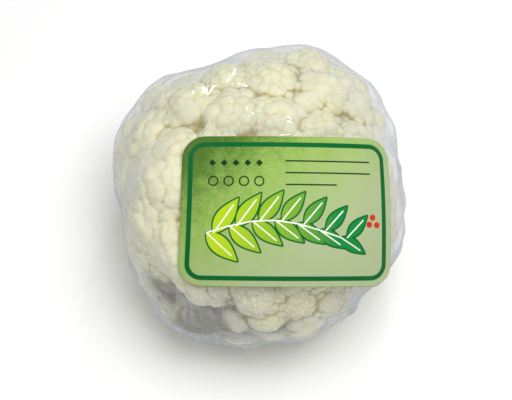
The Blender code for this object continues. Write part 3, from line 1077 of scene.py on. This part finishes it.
@dataclass
class LabelForm:
    """How the label lies: flat places on it, and where they come to on the head."""

    eye: Eye = field(default_factory=Eye)
    wide: float = 100.0
    high: float = 70.0
    corner: float = 10.5
    thick: float = 0.4
    yaw: float = 6.0
    pitch: float = 1.0
    roll: float = -0.5
    bend_across: float = 92.0
    bend_up: float = 100.0
    curl_from: float = 30.0
    curl: float = 0.007
    lean: float = 0.0006
    middle: Numbers = field(init=False)

    def axes(self) -> tuple[Numbers, Numbers, Numbers]:
        """Finds how the label is turned.

        Returns:
            The across, up and outward axes of its middle.
        """
        right, up, towards = self.eye.axes()
        yaw, pitch, roll = (math.radians(a) for a in (self.yaw, self.pitch, self.roll))
        outward = unit(towards + math.tan(yaw) * right + math.tan(pitch) * up)
        across = unit(np.cross(up, outward))
        upward = np.cross(outward, across)
        turned = math.cos(roll) * across + math.sin(roll) * upward
        return turned, np.cross(outward, turned), outward

    def drop(self, across: Numbers, up: Numbers) -> Numbers:
        """Finds how far the surface falls behind its middle.

        Args:
            across: flat places across the label.
            up: flat places up it.

        Returns:
            The fall at each.
        """
        barrel = across**2 / (2 * self.bend_across) + up**2 / (2 * self.bend_up)
        curled = np.maximum(across - self.curl_from, 0) ** 2
        return barrel + self.curl * curled * (1 + up / self.high)

    def relative(self, x: Numbers, y: Numbers) -> Numbers:
        """Finds where flat places come to.

        Args:
            x: places across the flat label.
            y: places up it.

        Returns:
            Their places from the label's own middle.
        """
        across, up, outward = self.axes()
        x = x * (1 - self.lean * y)
        sheet = x[:, None] * across + y[:, None] * up
        return sheet - self.drop(x, y)[:, None] * outward

    def settle(self, centre_height: float) -> None:
        """Finds the label's middle from the box of its solid.

        Args:
            centre_height: how high the middle of the head is.
        """
        low, high = (np.array(corner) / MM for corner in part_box("label"))
        x, y = self.flat_grid(100, 70)
        back = self.relative(x, y)
        whole = np.vstack([back, back + self.thick * self.axes()[2]])
        middle = (low + high) / 2 - (whole.min(axis=0) + whole.max(axis=0)) / 2
        self.middle = middle - np.array([0.0, 0.0, centre_height])

    def flat_grid(self, columns: int, rows: int) -> tuple[Numbers, Numbers]:
        """Lays places over the flat label in rows, drawn in to its round corners.

        Args:
            columns: how many spaces there are across.
            rows: how many there are up.

        Returns:
            The places across and up.
        """
        u, v = np.meshgrid(np.linspace(-1, 1, columns + 1), np.linspace(-1, 1, rows + 1))
        x, y = u.ravel() * self.wide / 2, v.ravel() * self.high / 2
        over_x = np.abs(x) - (self.wide / 2 - self.corner)
        over_y = np.abs(y) - (self.high / 2 - self.corner)
        cornered = (over_x > 1e-6) & (over_y > 1e-6)
        length = np.where(cornered, np.hypot(over_x, over_y), 1)
        shrink = np.where(cornered, np.maximum(over_x, over_y) / length, 1)
        x = np.where(cornered, np.copysign(np.abs(x) - over_x * (1 - shrink), x), x)
        y = np.where(cornered, np.copysign(np.abs(y) - over_y * (1 - shrink), y), y)
        return x, y

    def past_edge(self, x: Numbers, y: Numbers) -> Numbers:
        """Finds how far flat places are outside the label's outline.

        Args:
            x: places across.
            y: places up.

        Returns:
            The distance of each, below 0 inside.
        """
        over_x = np.abs(x) - self.wide / 2 + self.corner
        over_y = np.abs(y) - self.high / 2 + self.corner
        beyond = np.hypot(np.maximum(over_x, 0), np.maximum(over_y, 0))
        return beyond + np.minimum(np.maximum(over_x, over_y), 0) - self.corner

    def outside(self, points: Numbers) -> Numbers:
        """Finds how far points are outside the label's outline, as it is seen square on.

        Args:
            points: places round the middle of the head.

        Returns:
            The distance of each, below 0 inside.
        """
        across, up, _ = self.axes()
        away = points - self.middle
        y = away @ up
        return self.past_edge(away @ across / (1 - self.lean * y), y)


class Mark(Enum):
    """A kind of printed mark, with the name its distances are kept under."""

    LEAF_RIM = "leaf_rim_mm"
    LEAF = "leaf_mm"
    RIB = "rib_mm"
    RULE = "rule_mm"
    RING = "ring_mm"
    BERRY = "berry_mm"
    FRAME = "frame_mm"


@dataclass(frozen=True)
class PrintedPaper:
    """Coated label paper, printed in greens: satin, with fine ink mottle and a bare back."""

    sage: str = "#AAB98C"
    pale: str = "#A2B877"
    mid: str = "#93B457"
    dark: str = "#4B7127"
    grain: str = "#33521F"
    frame_green: str = "#00622B"
    lime: str = "#B5D41C"
    leaf_green: str = "#15853A"
    ink: str = "#14391F"
    berry: str = "#C8321E"
    white: str = "#F4F7EA"
    back: str = "#E6E8DE"
    roughness: float = 0.34
    # How the ground lightens to the right and down, for each millimetre, and how it is mottled
    lightens: Triple = (0.0085, -0.011, 0.0)
    mottle: float = 0.9
    ink_edge: float = 0.12
    lime_until: float = -34.0
    green_from: float = 22.0
    grains_per_mm: float = 1.5
    dent_spacing: float = 9.0

    def ground(self, tree: bpy.types.NodeTree, flat: bpy.types.NodeSocket) -> bpy.types.NodeSocket:
        """Paints the ground, from dark mottled green at the upper left to pale sage.

        Args:
            tree: the node tree.
            flat: the place on the flat label, in millimetres.

        Returns:
            The colour.
        """
        cloudy = {"Scale": 0.13, "Detail": 9.0, "Roughness": 0.82}
        mottle = add_node(tree, "TexNoise", {"Vector": flat, **cloudy}).outputs["Fac"]
        fall = {0: flat, 1: self.lightens}
        slope = add_node(tree, "VectorMath", fall, operation="DOT_PRODUCT").outputs["Value"]
        parts = {0: mottle, 1: self.mottle, 2: slope}
        lit = add_node(tree, "Math", parts, operation="MULTIPLY_ADD")
        lightness = lit.outputs[0]
        fine = {"Vector": flat, "Scale": self.grains_per_mm, "Detail": 1.0}
        speckle = add_node(tree, "TexNoise", fine).outputs["Fac"]
        parts = {0: speckle, 1: 0.5, 2: lightness}
        grained = add_node(tree, "Math", parts, operation="MULTIPLY_ADD")
        painted = add_node(tree, "ValToRGB", {0: grained.outputs[0]})
        stops = painted.color_ramp.elements
        stops[0].position, stops[0].color = 0.06, linear(self.dark)
        stops[1].position, stops[1].color = 0.98, linear(self.sage)
        stops.new(0.42).color = linear(self.mid)
        stops.new(0.72).color = linear(self.pale)

        # Dark specks in the printer's grain are strongest where the ground is dark
        peaks = {0: speckle, 1: 0.61, 2: 0.70, 3: 0.0, 4: 0.6}
        specks = add_node(tree, "MapRange", peaks, interpolation_type="SMOOTHSTEP").outputs[0]
        darker = add_node(tree, "MapRange", {0: lightness, 1: 0.05, 2: 0.5, 3: 1.0, 4: 0.12})
        amount = add_node(tree, "Math", {0: specks, 1: darker.outputs[0]}, operation="MULTIPLY")
        ends = {6: painted.outputs["Color"], 7: linear(self.grain)}
        return add_node(tree, "Mix", {0: amount.outputs[0], **ends}, data_type="RGBA").outputs[2]

    def material(self) -> bpy.types.Material:
        """Makes the finish, which turns the print's distances to inks with crisp edges.

        Returns:
            The material.
        """
        made, tree = start_material("printed_label_paper")
        sheet = tree.nodes["Principled BSDF"]
        flat = add_node(tree, "Attribute", attribute_name="print_mm").outputs["Vector"]
        colour = self.ground(tree, flat)

        # Leaves run from lime at the left to full green at the right
        across = add_node(tree, "SeparateXYZ", {0: flat}).outputs["X"]
        run = {0: across, 1: self.lime_until, 2: self.green_from, 3: 0.0, 4: 1.0}
        ends = {6: linear(self.lime), 7: linear(self.leaf_green)}
        fade = add_node(tree, "MapRange", run).outputs[0]
        inks = {
            Mark.LEAF_RIM: linear(self.frame_green),
            Mark.LEAF: add_node(tree, "Mix", {0: fade, **ends}, data_type="RGBA").outputs[2],
            Mark.RIB: linear(self.white),
            Mark.RULE: linear(self.ink),
            Mark.RING: linear(self.ink),
            Mark.BERRY: linear(self.berry),
            Mark.FRAME: linear(self.frame_green),
        }
        for mark, ink in inks.items():
            distance = add_node(tree, "Attribute", attribute_name=mark.value).outputs["Fac"]
            colour = tinted(tree, colour, ink, distance, self.ink_edge, -self.ink_edge)

        # The back is bare paper, and shows through the film where the label bridges a hollow
        behind = add_node(tree, "Attribute", attribute_name="back").outputs["Fac"]
        bare = {0: behind, 6: colour, 7: linear(self.back)}
        colour = add_node(tree, "Mix", bare, data_type="RGBA").outputs[2]
        tree.links.new(colour, sheet.inputs["Base Color"])

        # The sheet takes on soft dents from the florets under it
        soft = {"Vector": flat, "Scale": 1 / self.dent_spacing, "Detail": 2.0}
        dents = add_node(tree, "TexNoise", soft).outputs["Fac"]
        bump = add_node(tree, "Bump", {"Height": dents, "Strength": 0.25, "Distance": 0.5 * MM})
        tree.links.new(bump.outputs[0], sheet.inputs["Normal"])
        sheet.inputs["Roughness"].default_value = self.roughness
        sheet.inputs["Specular IOR Level"].default_value = 0.18
        return made


@dataclass
class ProduceLabel:
    """The label: a thin sheet on its form, printed with a sprig, rules and a frame line."""

    form: LabelForm
    finish: PrintedPaper
    centre_height: float
    columns: int = 240
    rows: int = 168
    sheet_thick: float = 0.18
    off_film: float = 0.12
    frame_inset: float = 3.9
    frame_half_wide: float = 1.1
    # The sprig's stem, and the leaves that it carries in pairs
    stem_from: float = -38.0
    stem_to: float = 24.0
    stem_height: float = -10.0
    stem_arch: float = 6.0
    stem_half_wide: float = 0.32
    leaf_pairs: int = 7
    pair_offset: float = 3.2
    first_leaf: float = 19.5
    leaf_shrink: float = 0.9
    leaf_turn: float = 0.86
    leaf_belly: float = 0.20
    rib_half_wide: float = 0.3
    leaf_rim: float = 0.7
    # Rules: from, height, to
    rules: tuple[Triple, ...] = ((-2, 23.5, 39), (-2, 18.0, 39), (-2, 12.5, 22))
    rule_half_wide: float = 0.36
    # Diamonds and rings: the first one's middle, and how far apart they are
    diamonds: int = 5
    first_diamond: Pair = (-36, 22.5)
    diamond_spacing: float = 5.4
    diamond_half_wide: float = 1.15
    rings: int = 4
    first_ring: Pair = (-35.5, 14.0)
    ring_spacing: float = 7.0
    ring_radius: float = 2.1
    ring_half_wide: float = 0.34
    berries: tuple[Pair, ...] = ((40.0, -2.5), (42.2, -6.0), (38.2, -5.8))
    berry_radius: float = 1.5

    def distances(self, x: Numbers, y: Numbers) -> dict[Mark, Numbers]:
        """Draws the print.

        Args:
            x: places across the flat label.
            y: places up it.

        Returns:
            For each kind of mark, how far each place is outside its ink's edge.
        """
        border = self.form.past_edge(x, y)
        leaf, rib = self.sprig(x, y)
        lines = [
            self.segment(x, y, (start, high), (end, high)) - self.rule_half_wide
            for start, high, end in self.rules
        ]
        for k in range(self.diamonds):
            along = x - self.first_diamond[0] - self.diamond_spacing * k
            slanted = (np.abs(along) + np.abs(y - self.first_diamond[1])) / math.sqrt(2)
            lines.append(slanted - self.diamond_half_wide)
        rings = []
        for k in range(self.rings):
            along = x - self.first_ring[0] - self.ring_spacing * k
            away = np.hypot(along, y - self.first_ring[1])
            rings.append(np.abs(away - self.ring_radius) - self.ring_half_wide)
        berries = [np.hypot(x - a, y - b) - self.berry_radius for a, b in self.berries]
        return {
            Mark.FRAME: np.abs(border + self.frame_inset) - self.frame_half_wide,
            Mark.LEAF: leaf,
            Mark.LEAF_RIM: leaf - self.leaf_rim,
            Mark.RIB: rib,
            Mark.RULE: np.min(lines, axis=0),
            Mark.RING: np.min(rings, axis=0),
            Mark.BERRY: np.min(berries, axis=0),
        }

    def sprig(self, x: Numbers, y: Numbers) -> tuple[Numbers, Numbers]:
        """Draws the sprig.

        Args:
            x: places across the flat label.
            y: places up it.

        Returns:
            How far each place is outside the leaves, and outside the ribs and the stem.
        """
        leaf = np.full(len(x), 50.0)
        rib = np.full(len(x), 50.0)
        stem_x = np.linspace(self.stem_from, self.stem_to, self.leaf_pairs)
        along = (stem_x - self.stem_from) / (self.stem_to - self.stem_from)
        stem_y = self.stem_height + self.stem_arch * np.sin(along * math.pi * 1.1)
        for k, (root_x, root_y) in enumerate(zip(stem_x, stem_y)):
            length = self.first_leaf - self.leaf_shrink * k
            for side in (1, -1):
                turn = 0.12 + side * (self.leaf_turn - 0.03 * k)
                start_x = root_x + self.pair_offset * (side > 0)
                tip = (start_x + length * math.cos(turn), root_y + length * math.sin(turn))
                leaf_k, rib_k = self.blade(x, y, (start_x, root_y), tip)
                leaf = np.minimum(leaf, leaf_k)
                rib = np.minimum(rib, rib_k)
        joints = list(zip(stem_x, stem_y))
        for start, end in zip(joints, joints[1:]):
            rib = np.minimum(rib, self.segment(x, y, start, end) - self.stem_half_wide)
        return leaf, rib

    def segment(self, x: Numbers, y: Numbers, start: Pair, end: Pair) -> Numbers:
        """Measures from a straight line.

        Args:
            x: places across the flat label.
            y: places up it.
            start: where the line starts.
            end: where it ends.

        Returns:
            How far each place is from it.
        """
        dx, dy = end[0] - start[0], end[1] - start[1]
        along = np.clip(((x - start[0]) * dx + (y - start[1]) * dy) / (dx * dx + dy * dy), 0, 1)
        return np.hypot(x - start[0] - along * dx, y - start[1] - along * dy)

    def blade(self, x: Numbers, y: Numbers, root: Pair, tip: Pair) -> tuple[Numbers, Numbers]:
        """Draws one leaf.

        Args:
            x: places across the flat label.
            y: places up it.
            root: where the leaf starts.
            tip: where it ends.

        Returns:
            How far each place is outside the leaf, and outside its midrib.
        """
        dx, dy = tip[0] - root[0], tip[1] - root[1]
        length = math.hypot(dx, dy)
        along = ((x - root[0]) * dx + (y - root[1]) * dy) / length**2
        aside = np.abs((y - root[1]) * dx - (x - root[0]) * dy) / length
        belly = self.leaf_belly * length * np.sin(math.pi * np.clip(along, 0, 1) ** 0.8)
        past = np.maximum(np.abs(along - 0.5) - 0.5, 0) * length
        leaf = np.where(past > 0, np.hypot(past, aside), (aside - belly) * 0.85)
        rib_end = (root[0] + 0.8 * dx, root[1] + 0.8 * dy)
        return leaf, self.segment(x, y, root, rib_end) - self.rib_half_wide

    def thickened(self, sheet: bpy.types.Mesh) -> bpy.types.Mesh:
        """Gives the sheet its thickness, and notes which of its faces are the back.

        Args:
            sheet: the back face of the label.

        Returns:
            The closed mesh.
        """
        piece = put_in_scene("thickening", sheet)
        thick = piece.modifiers.new("Thickness", "SOLIDIFY")
        thick.thickness = self.sheet_thick * MM
        thick.offset = 1.0
        graph = bpy.context.evaluated_depsgraph_get()
        solid = bpy.data.meshes.new_from_object(piece.evaluated_get(graph))
        bpy.data.objects.remove(piece, do_unlink=True)
        solid.name = "printed_label"
        facing = np.zeros(len(solid.polygons) * 3, np.float32)
        solid.polygons.foreach_get("normal", facing)
        behind = facing.reshape(-1, 3) @ self.form.axes()[2] < -0.3
        note(solid, "back", behind, "FACE")
        return solid

    def build(self) -> None:
        """Makes the label and puts it in place of its solid."""
        x, y = self.form.flat_grid(self.columns, self.rows)
        back = self.form.middle + self.form.relative(x, y)
        low = noise_at(np.column_stack([x / 17, y / 13, np.full(len(x), 3.0)]))
        back = back + (self.off_film + self.off_film * low)[:, None] * self.form.axes()[2]
        places = in_metres(back, self.centre_height)
        across = self.columns + 1
        corner = (np.arange(self.rows)[:, None] * across + np.arange(self.columns)).ravel()
        faces = np.column_stack([corner, corner + 1, corner + across + 1, corner + across])
        sheet = bpy.data.meshes.new("label_sheet")
        sheet.from_pydata(places.tolist(), [], faces.tolist())
        print_mm = sheet.attributes.new("print_mm", "FLOAT_VECTOR", "POINT")
        flat = np.column_stack([x, y, np.zeros(len(x))]).astype(np.float32)
        print_mm.data.foreach_set("vector", flat.ravel())
        for mark, values in self.distances(x, y).items():
            note(sheet, mark.value, values)
        sheet.shade_smooth()
        place(self.thickened(sheet), "label", "label", self.finish.material())


@dataclass(frozen=True)
class StretchWrap:
    """Clear polythene stretch film: a thin glossy skin, milky where it is creased or edge on."""

    clear: str = "#FBFCFE"
    haze: str = "#CCD2DD"
    gloss_head_on: float = 0.07
    gloss_edge_on: float = 0.85
    haze_head_on: float = 0.015
    haze_edge_on: float = 0.85
    haze_in_folds: float = 0.28
    haze_off_curd: float = 0.18
    glow: float = 0.45
    roughness: float = 0.09
    crinkle_spacing: float = 13.0

    def material(self) -> bpy.types.Material:
        """Makes the finish, by layers: what passes, what mirrors and what is milky.

        Returns:
            The material.
        """
        made, tree = start_material("clear_stretch_film")
        tree.nodes.remove(tree.nodes["Principled BSDF"])
        where = add_node(tree, "TexCoord").outputs["Object"]
        fold = add_node(tree, "Attribute", attribute_name="fold").outputs["Fac"]
        lift = add_node(tree, "Attribute", attribute_name="lift").outputs["Fac"]

        # Crinkles 3 to 13 mm apart, finer than the mesh shows
        fine = {"Scale": 1 / (self.crinkle_spacing * MM), "Detail": 2.0, "Roughness": 0.5}
        crinkle = add_node(
            tree, "TexNoise", {"Vector": where, **fine}, noise_type="RIDGED_MULTIFRACTAL"
        )
        heights = crinkle.outputs["Fac"]
        bump = add_node(tree, "Bump", {"Height": heights, "Strength": 0.13, "Distance": 0.7 * MM})
        normal = {"Normal": bump.outputs[0]}
        facing = add_node(tree, "LayerWeight", {"Blend": 0.5, **normal}).outputs["Facing"]

        steep = add_node(tree, "Math", {0: facing, 1: 5.0}, operation="POWER").outputs[0]
        mirrors = {0: steep, 1: 0.0, 2: 1.0, 3: self.gloss_head_on, 4: self.gloss_edge_on}
        mirrored = add_node(tree, "MapRange", mirrors).outputs[0]
        passing = add_node(tree, "BsdfTransparent", {"Color": linear(self.clear)}).outputs[0]
        shine = {"Color": linear("#FFFFFF"), "Roughness": self.roughness, **normal}
        gloss = add_node(tree, "BsdfGlossy", shine).outputs[0]
        skin = add_node(tree, "MixShader", {0: mirrored, 1: passing, 2: gloss}).outputs[0]

        thick = add_node(tree, "Math", {0: facing, 1: 3.2}, operation="POWER").outputs[0]
        clouds = {0: thick, 1: 0.0, 2: 1.0, 3: self.haze_head_on, 4: self.haze_edge_on}
        milky = add_node(tree, "MapRange", clouds).outputs[0]
        for amount, most in ((fold, self.haze_in_folds), (lift, self.haze_off_curd)):
            more = {0: amount, 1: most, 2: milky}
            milky = add_node(
                tree, "Math", more, operation="MULTIPLY_ADD", use_clamp=True
            ).outputs[0]
        tint = {"Color": linear(self.haze), **normal}
        milk = add_node(tree, "BsdfDiffuse", tint).outputs[0]
        glow = add_node(tree, "BsdfTranslucent", tint).outputs[0]
        cloud = add_node(tree, "MixShader", {0: self.glow, 1: milk, 2: glow}).outputs[0]
        whole = add_node(tree, "MixShader", {0: milky, 1: skin, 2: cloud}).outputs[0]
        tree.links.new(whole, tree.nodes["Material Output"].inputs["Surface"])
        return made


@dataclass
class FilmWrap:
    """The film: drawn tight over the florets, wrinkled between them and pleated to the stalk."""

    form: HeadForm
    label: LabelForm
    finish: StretchWrap
    cuts: int = 129
    gap: float = 0.35
    cling: float = 0.010
    settles: float = 0.5
    rounds: int = 160
    hole: float = 23.5
    lowest: float = 0.7
    closest: float = 0.12
    # The film is stuck to the label this far past its edge, and wrinkles begin and are full here
    stuck_past_label: float = 1.6
    clear_of_label: Pair = (1.5, 6.0)
    under_label: float = 0.12
    # A fold this high, and film lifted this far off the florets, look milky
    full_fold: float = 0.9
    lifted: Pair = (4.0, 12.0)
    # Where the film is most wrinkled, level and upright, and its tab, as the eye sees them
    level_at: Pair = (-55, -2)
    level_spread: Pair = (22, 26)
    upright_at: Pair = (-32, -58)
    upright_spread: Pair = (24, 20)
    tab_at: Pair = (46, -55)
    tab_spread: Pair = (2.2, 3.5)
    tab_length: float = 2.4

    def wrinkles(self, points: Numbers, ways: Numbers, slack: Numbers) -> Numbers:
        """Finds the film's wrinkles.

        Args:
            points: places on the smooth film.
            ways: their directions.
            slack: how far each is off the florets.

        Returns:
            How far each wrinkle stands out there.
        """
        right, up, _ = self.form.eye.axes()
        seen_x, seen_y = points @ right, points @ up
        around = np.arctan2(ways[:, 1], ways[:, 0])
        turn, z = np.column_stack([np.cos(around), np.sin(around)]), ways[:, 2]
        pleats = ridges(np.column_stack([turn * 9.0, z * 1.4]), 3.0)
        fine_pleats = ridges(np.column_stack([turn * 19.0, z * 2.5 + 7]), 2.5)
        height = ramp(-z, -0.15, 0.75) * (0.75 * pleats + 0.5 * fine_pleats)

        crumple = ridges(points / 12.0 + 31.0, 3.5)
        level = ridges(np.column_stack([seen_x / 22, seen_y / 3.4, points[:, 2] / 30 + 5]), 2.5)
        level = level * patch(seen_x, seen_y, self.level_at, self.level_spread)
        upright = ridges(np.column_stack([seen_x / 3.0, seen_y / 26, points[:, 1] / 40 + 9]), 2.2)
        upright = upright * patch(seen_x, seen_y, self.upright_at, self.upright_spread)
        loose = 0.35 + 0.65 * ramp(slack, 0.1, 1.6)
        height = height + loose * (0.16 * crumple + 0.6 * level + 0.8 * upright)
        return height + self.tab_length * patch(seen_x, seen_y, self.tab_at, self.tab_spread)

    def open_up(self, mesh: bpy.types.Mesh, open_end: Numbers) -> None:
        """Cuts the film open round the stalk, with an even edge.

        Args:
            mesh: the film's mesh.
            open_end: which of its points have no film.
        """
        skin = bmesh.new()
        skin.from_mesh(mesh)
        skin.verts.ensure_lookup_table()
        gone = [skin.verts[k] for k in np.nonzero(open_end)[0]]
        bmesh.ops.delete(skin, geom=gone, context="VERTS")
        for vert in skin.verts:
            if vert.is_boundary:
                flat = math.hypot(vert.co.x, vert.co.y)
                vert.co.x *= self.hole * MM / flat
                vert.co.y *= self.hole * MM / flat
                vert.co.z = self.lowest * MM
        skin.to_mesh(mesh)
        skin.free()

    def build(self) -> None:
        """Makes the film and puts it in place of its solid."""
        net = Net("film_wrap", self.cuts)
        middle = self.form.centre_height
        start = skin_reach(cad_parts["film"].data, net.ways, middle)
        bare = skin_reach(bpy.data.meshes["curd"], net.ways, middle)
        open_end = start <= 0
        start = np.where(open_end, bare, start)
        off_label = self.label.outside(net.ways * start[:, None])
        facing = net.ways @ self.label.axes()[2] > 0.3
        stuck = (off_label < self.stuck_past_label) & facing
        tight = net.blurred(start, 6)
        floor = np.where(stuck, start, np.maximum(bare + self.gap, tight - self.settles))
        reach = np.maximum(tight, floor)
        for _ in range(self.rounds):
            drawn = np.maximum(net.averaged(reach) - self.cling, floor)
            reach = np.where(stuck | open_end, start, drawn)
        smooth = np.where(stuck | open_end, reach, net.blurred(reach, 5))
        reach = np.maximum(smooth, np.where(stuck | open_end, 0, bare + self.closest))
        slack = np.maximum(reach - bare - self.gap, 0)
        clear = ramp(off_label, *self.clear_of_label) * facing + (1 - facing)
        height = self.wrinkles(net.ways * reach[:, None], net.ways, slack)
        reach = reach + clear * height - np.where(stuck, self.under_label, 0)
        points = net.ways * reach[:, None]
        points[:, 2] = np.maximum(points[:, 2], self.lowest - self.form.centre_height)
        net.shape(points, self.form.centre_height)
        note(net.mesh, "fold", np.clip(clear * height / self.full_fold, 0, 1))
        note(net.mesh, "lift", ramp(net.blurred(slack, 4), *self.lifted))
        self.open_up(net.mesh, open_end)
        place(net.mesh, "film", "film", self.finish.material())


@dataclass
class Studio:
    """A pale floor, soft studio light and the camera at the photograph's angle."""

    eye: Eye
    centre_height: float
    sky: float = 0.42
    floor_half_wide_m: float = 3.0
    focal_length: float = 100.0
    # How far left of the head's middle the camera aims, and how far below it
    aim_left: float = 1.0
    aim_below: float = 2.1
    # Name, watts, side and place in metres
    key: tuple[str, float, float, Triple] = ("key_softbox", 6.6, 0.5, (0.15, -0.09, 0.96))
    glints: tuple[tuple[str, float, float, Triple], ...] = (
        ("glint_lamp", 0.35, 0.05, (0.15, 0.50, 0.8)),
        ("side_glint_lamp", 0.2, 0.05, (-0.55, 0.2, 0.7)),
        ("low_glint_lamp", 0.15, 0.035, (-0.15, 0.9, 0.3)),
    )

    def floor(self) -> None:
        """Makes the floor, in near-white matt paint with a very faint mottle."""
        made, tree = start_material("matt_white_backdrop")
        paint = tree.nodes["Principled BSDF"]
        mottle = add_node(tree, "TexNoise", {"Scale": 3.0, "Detail": 2.0}).outputs["Fac"]
        whites = {0: mottle, 6: linear("#FAFAFA"), 7: linear("#FDFDFD")}
        colour = add_node(tree, "Mix", whites, data_type="RGBA").outputs[2]
        tree.links.new(colour, paint.inputs["Base Color"])
        paint.inputs["Roughness"].default_value = 0.9
        paint.inputs["Specular IOR Level"].default_value = 0.1
        sheet = bmesh.new()
        bmesh.ops.create_grid(sheet, x_segments=1, y_segments=1, size=self.floor_half_wide_m)
        mesh = bpy.data.meshes.new("floor")
        sheet.to_mesh(mesh)
        sheet.free()
        mesh.materials.append(made)
        put_in_scene("floor", mesh)

    def lamp(self, name: str, watts: float, size: float, place_m: Triple) -> bpy.types.Object:
        """Hangs a square lamp that points at the head.

        Args:
            name: its name.
            watts: its power.
            size: its side in metres.
            place_m: where it hangs.

        Returns:
            The lamp.
        """
        light = bpy.data.lights.new(name, "AREA")
        light.energy = watts
        light.size = size
        lamp = put_in_scene(name, light)
        lamp.location = place_m
        aim = Vector((0, 0, self.centre_height * MM)) - lamp.location
        lamp.rotation_euler = aim.to_track_quat("-Z", "Y").to_euler()
        return lamp

    def camera(self) -> None:
        """Sets the camera where the photograph was taken from."""
        right, up, towards = self.eye.axes()
        middle = np.array([0.0, 0.0, self.centre_height])
        target = middle - self.aim_left * right - self.aim_below * up
        lens = bpy.data.cameras.new("camera")
        lens.lens = self.focal_length
        lens.sensor_width = 36.0
        camera = put_in_scene("camera", lens)
        camera.location = Vector((target + self.eye.distance * towards) * MM)
        camera.rotation_euler = Vector(-towards).to_track_quat("-Z", "Y").to_euler()
        bpy.context.scene.camera = camera

    def build(self) -> None:
        """Sets up the floor, the lamps, the sky and the camera."""
        self.floor()
        self.lamp(*self.key).visible_glossy = False
        for glint in self.glints:
            self.lamp(*glint)
        scene = bpy.context.scene
        scene.world = bpy.data.worlds.new("pale_sky")
        scene.world.use_nodes = True
        sky = scene.world.node_tree.nodes["Background"]
        sky.inputs["Color"].default_value = linear("#FFFFFF")
        sky.inputs["Strength"].default_value = self.sky
        scene.view_settings.view_transform = "Standard"
        self.camera()
        LOG.info("studio: floor, %d lamps, sky and camera", 1 + len(self.glints))


def main() -> None:
    """Builds the head, the label, the film and the studio, in that order."""
    logging.basicConfig(level=logging.INFO, format="%(message)s")
    form = HeadForm()
    LOG.info("form: %d main florets, %d balls in all", form.main_count, len(form.radii))
    label = LabelForm()
    label.settle(form.centre_height)
    Curd(form, CurdFlesh()).build()
    ProduceLabel(label, PrintedPaper(), form.centre_height).build()
    FilmWrap(form, label, StretchWrap()).build()
    Studio(form.eye, form.centre_height).build()
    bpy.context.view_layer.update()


if __name__ == "__main__":
    main()
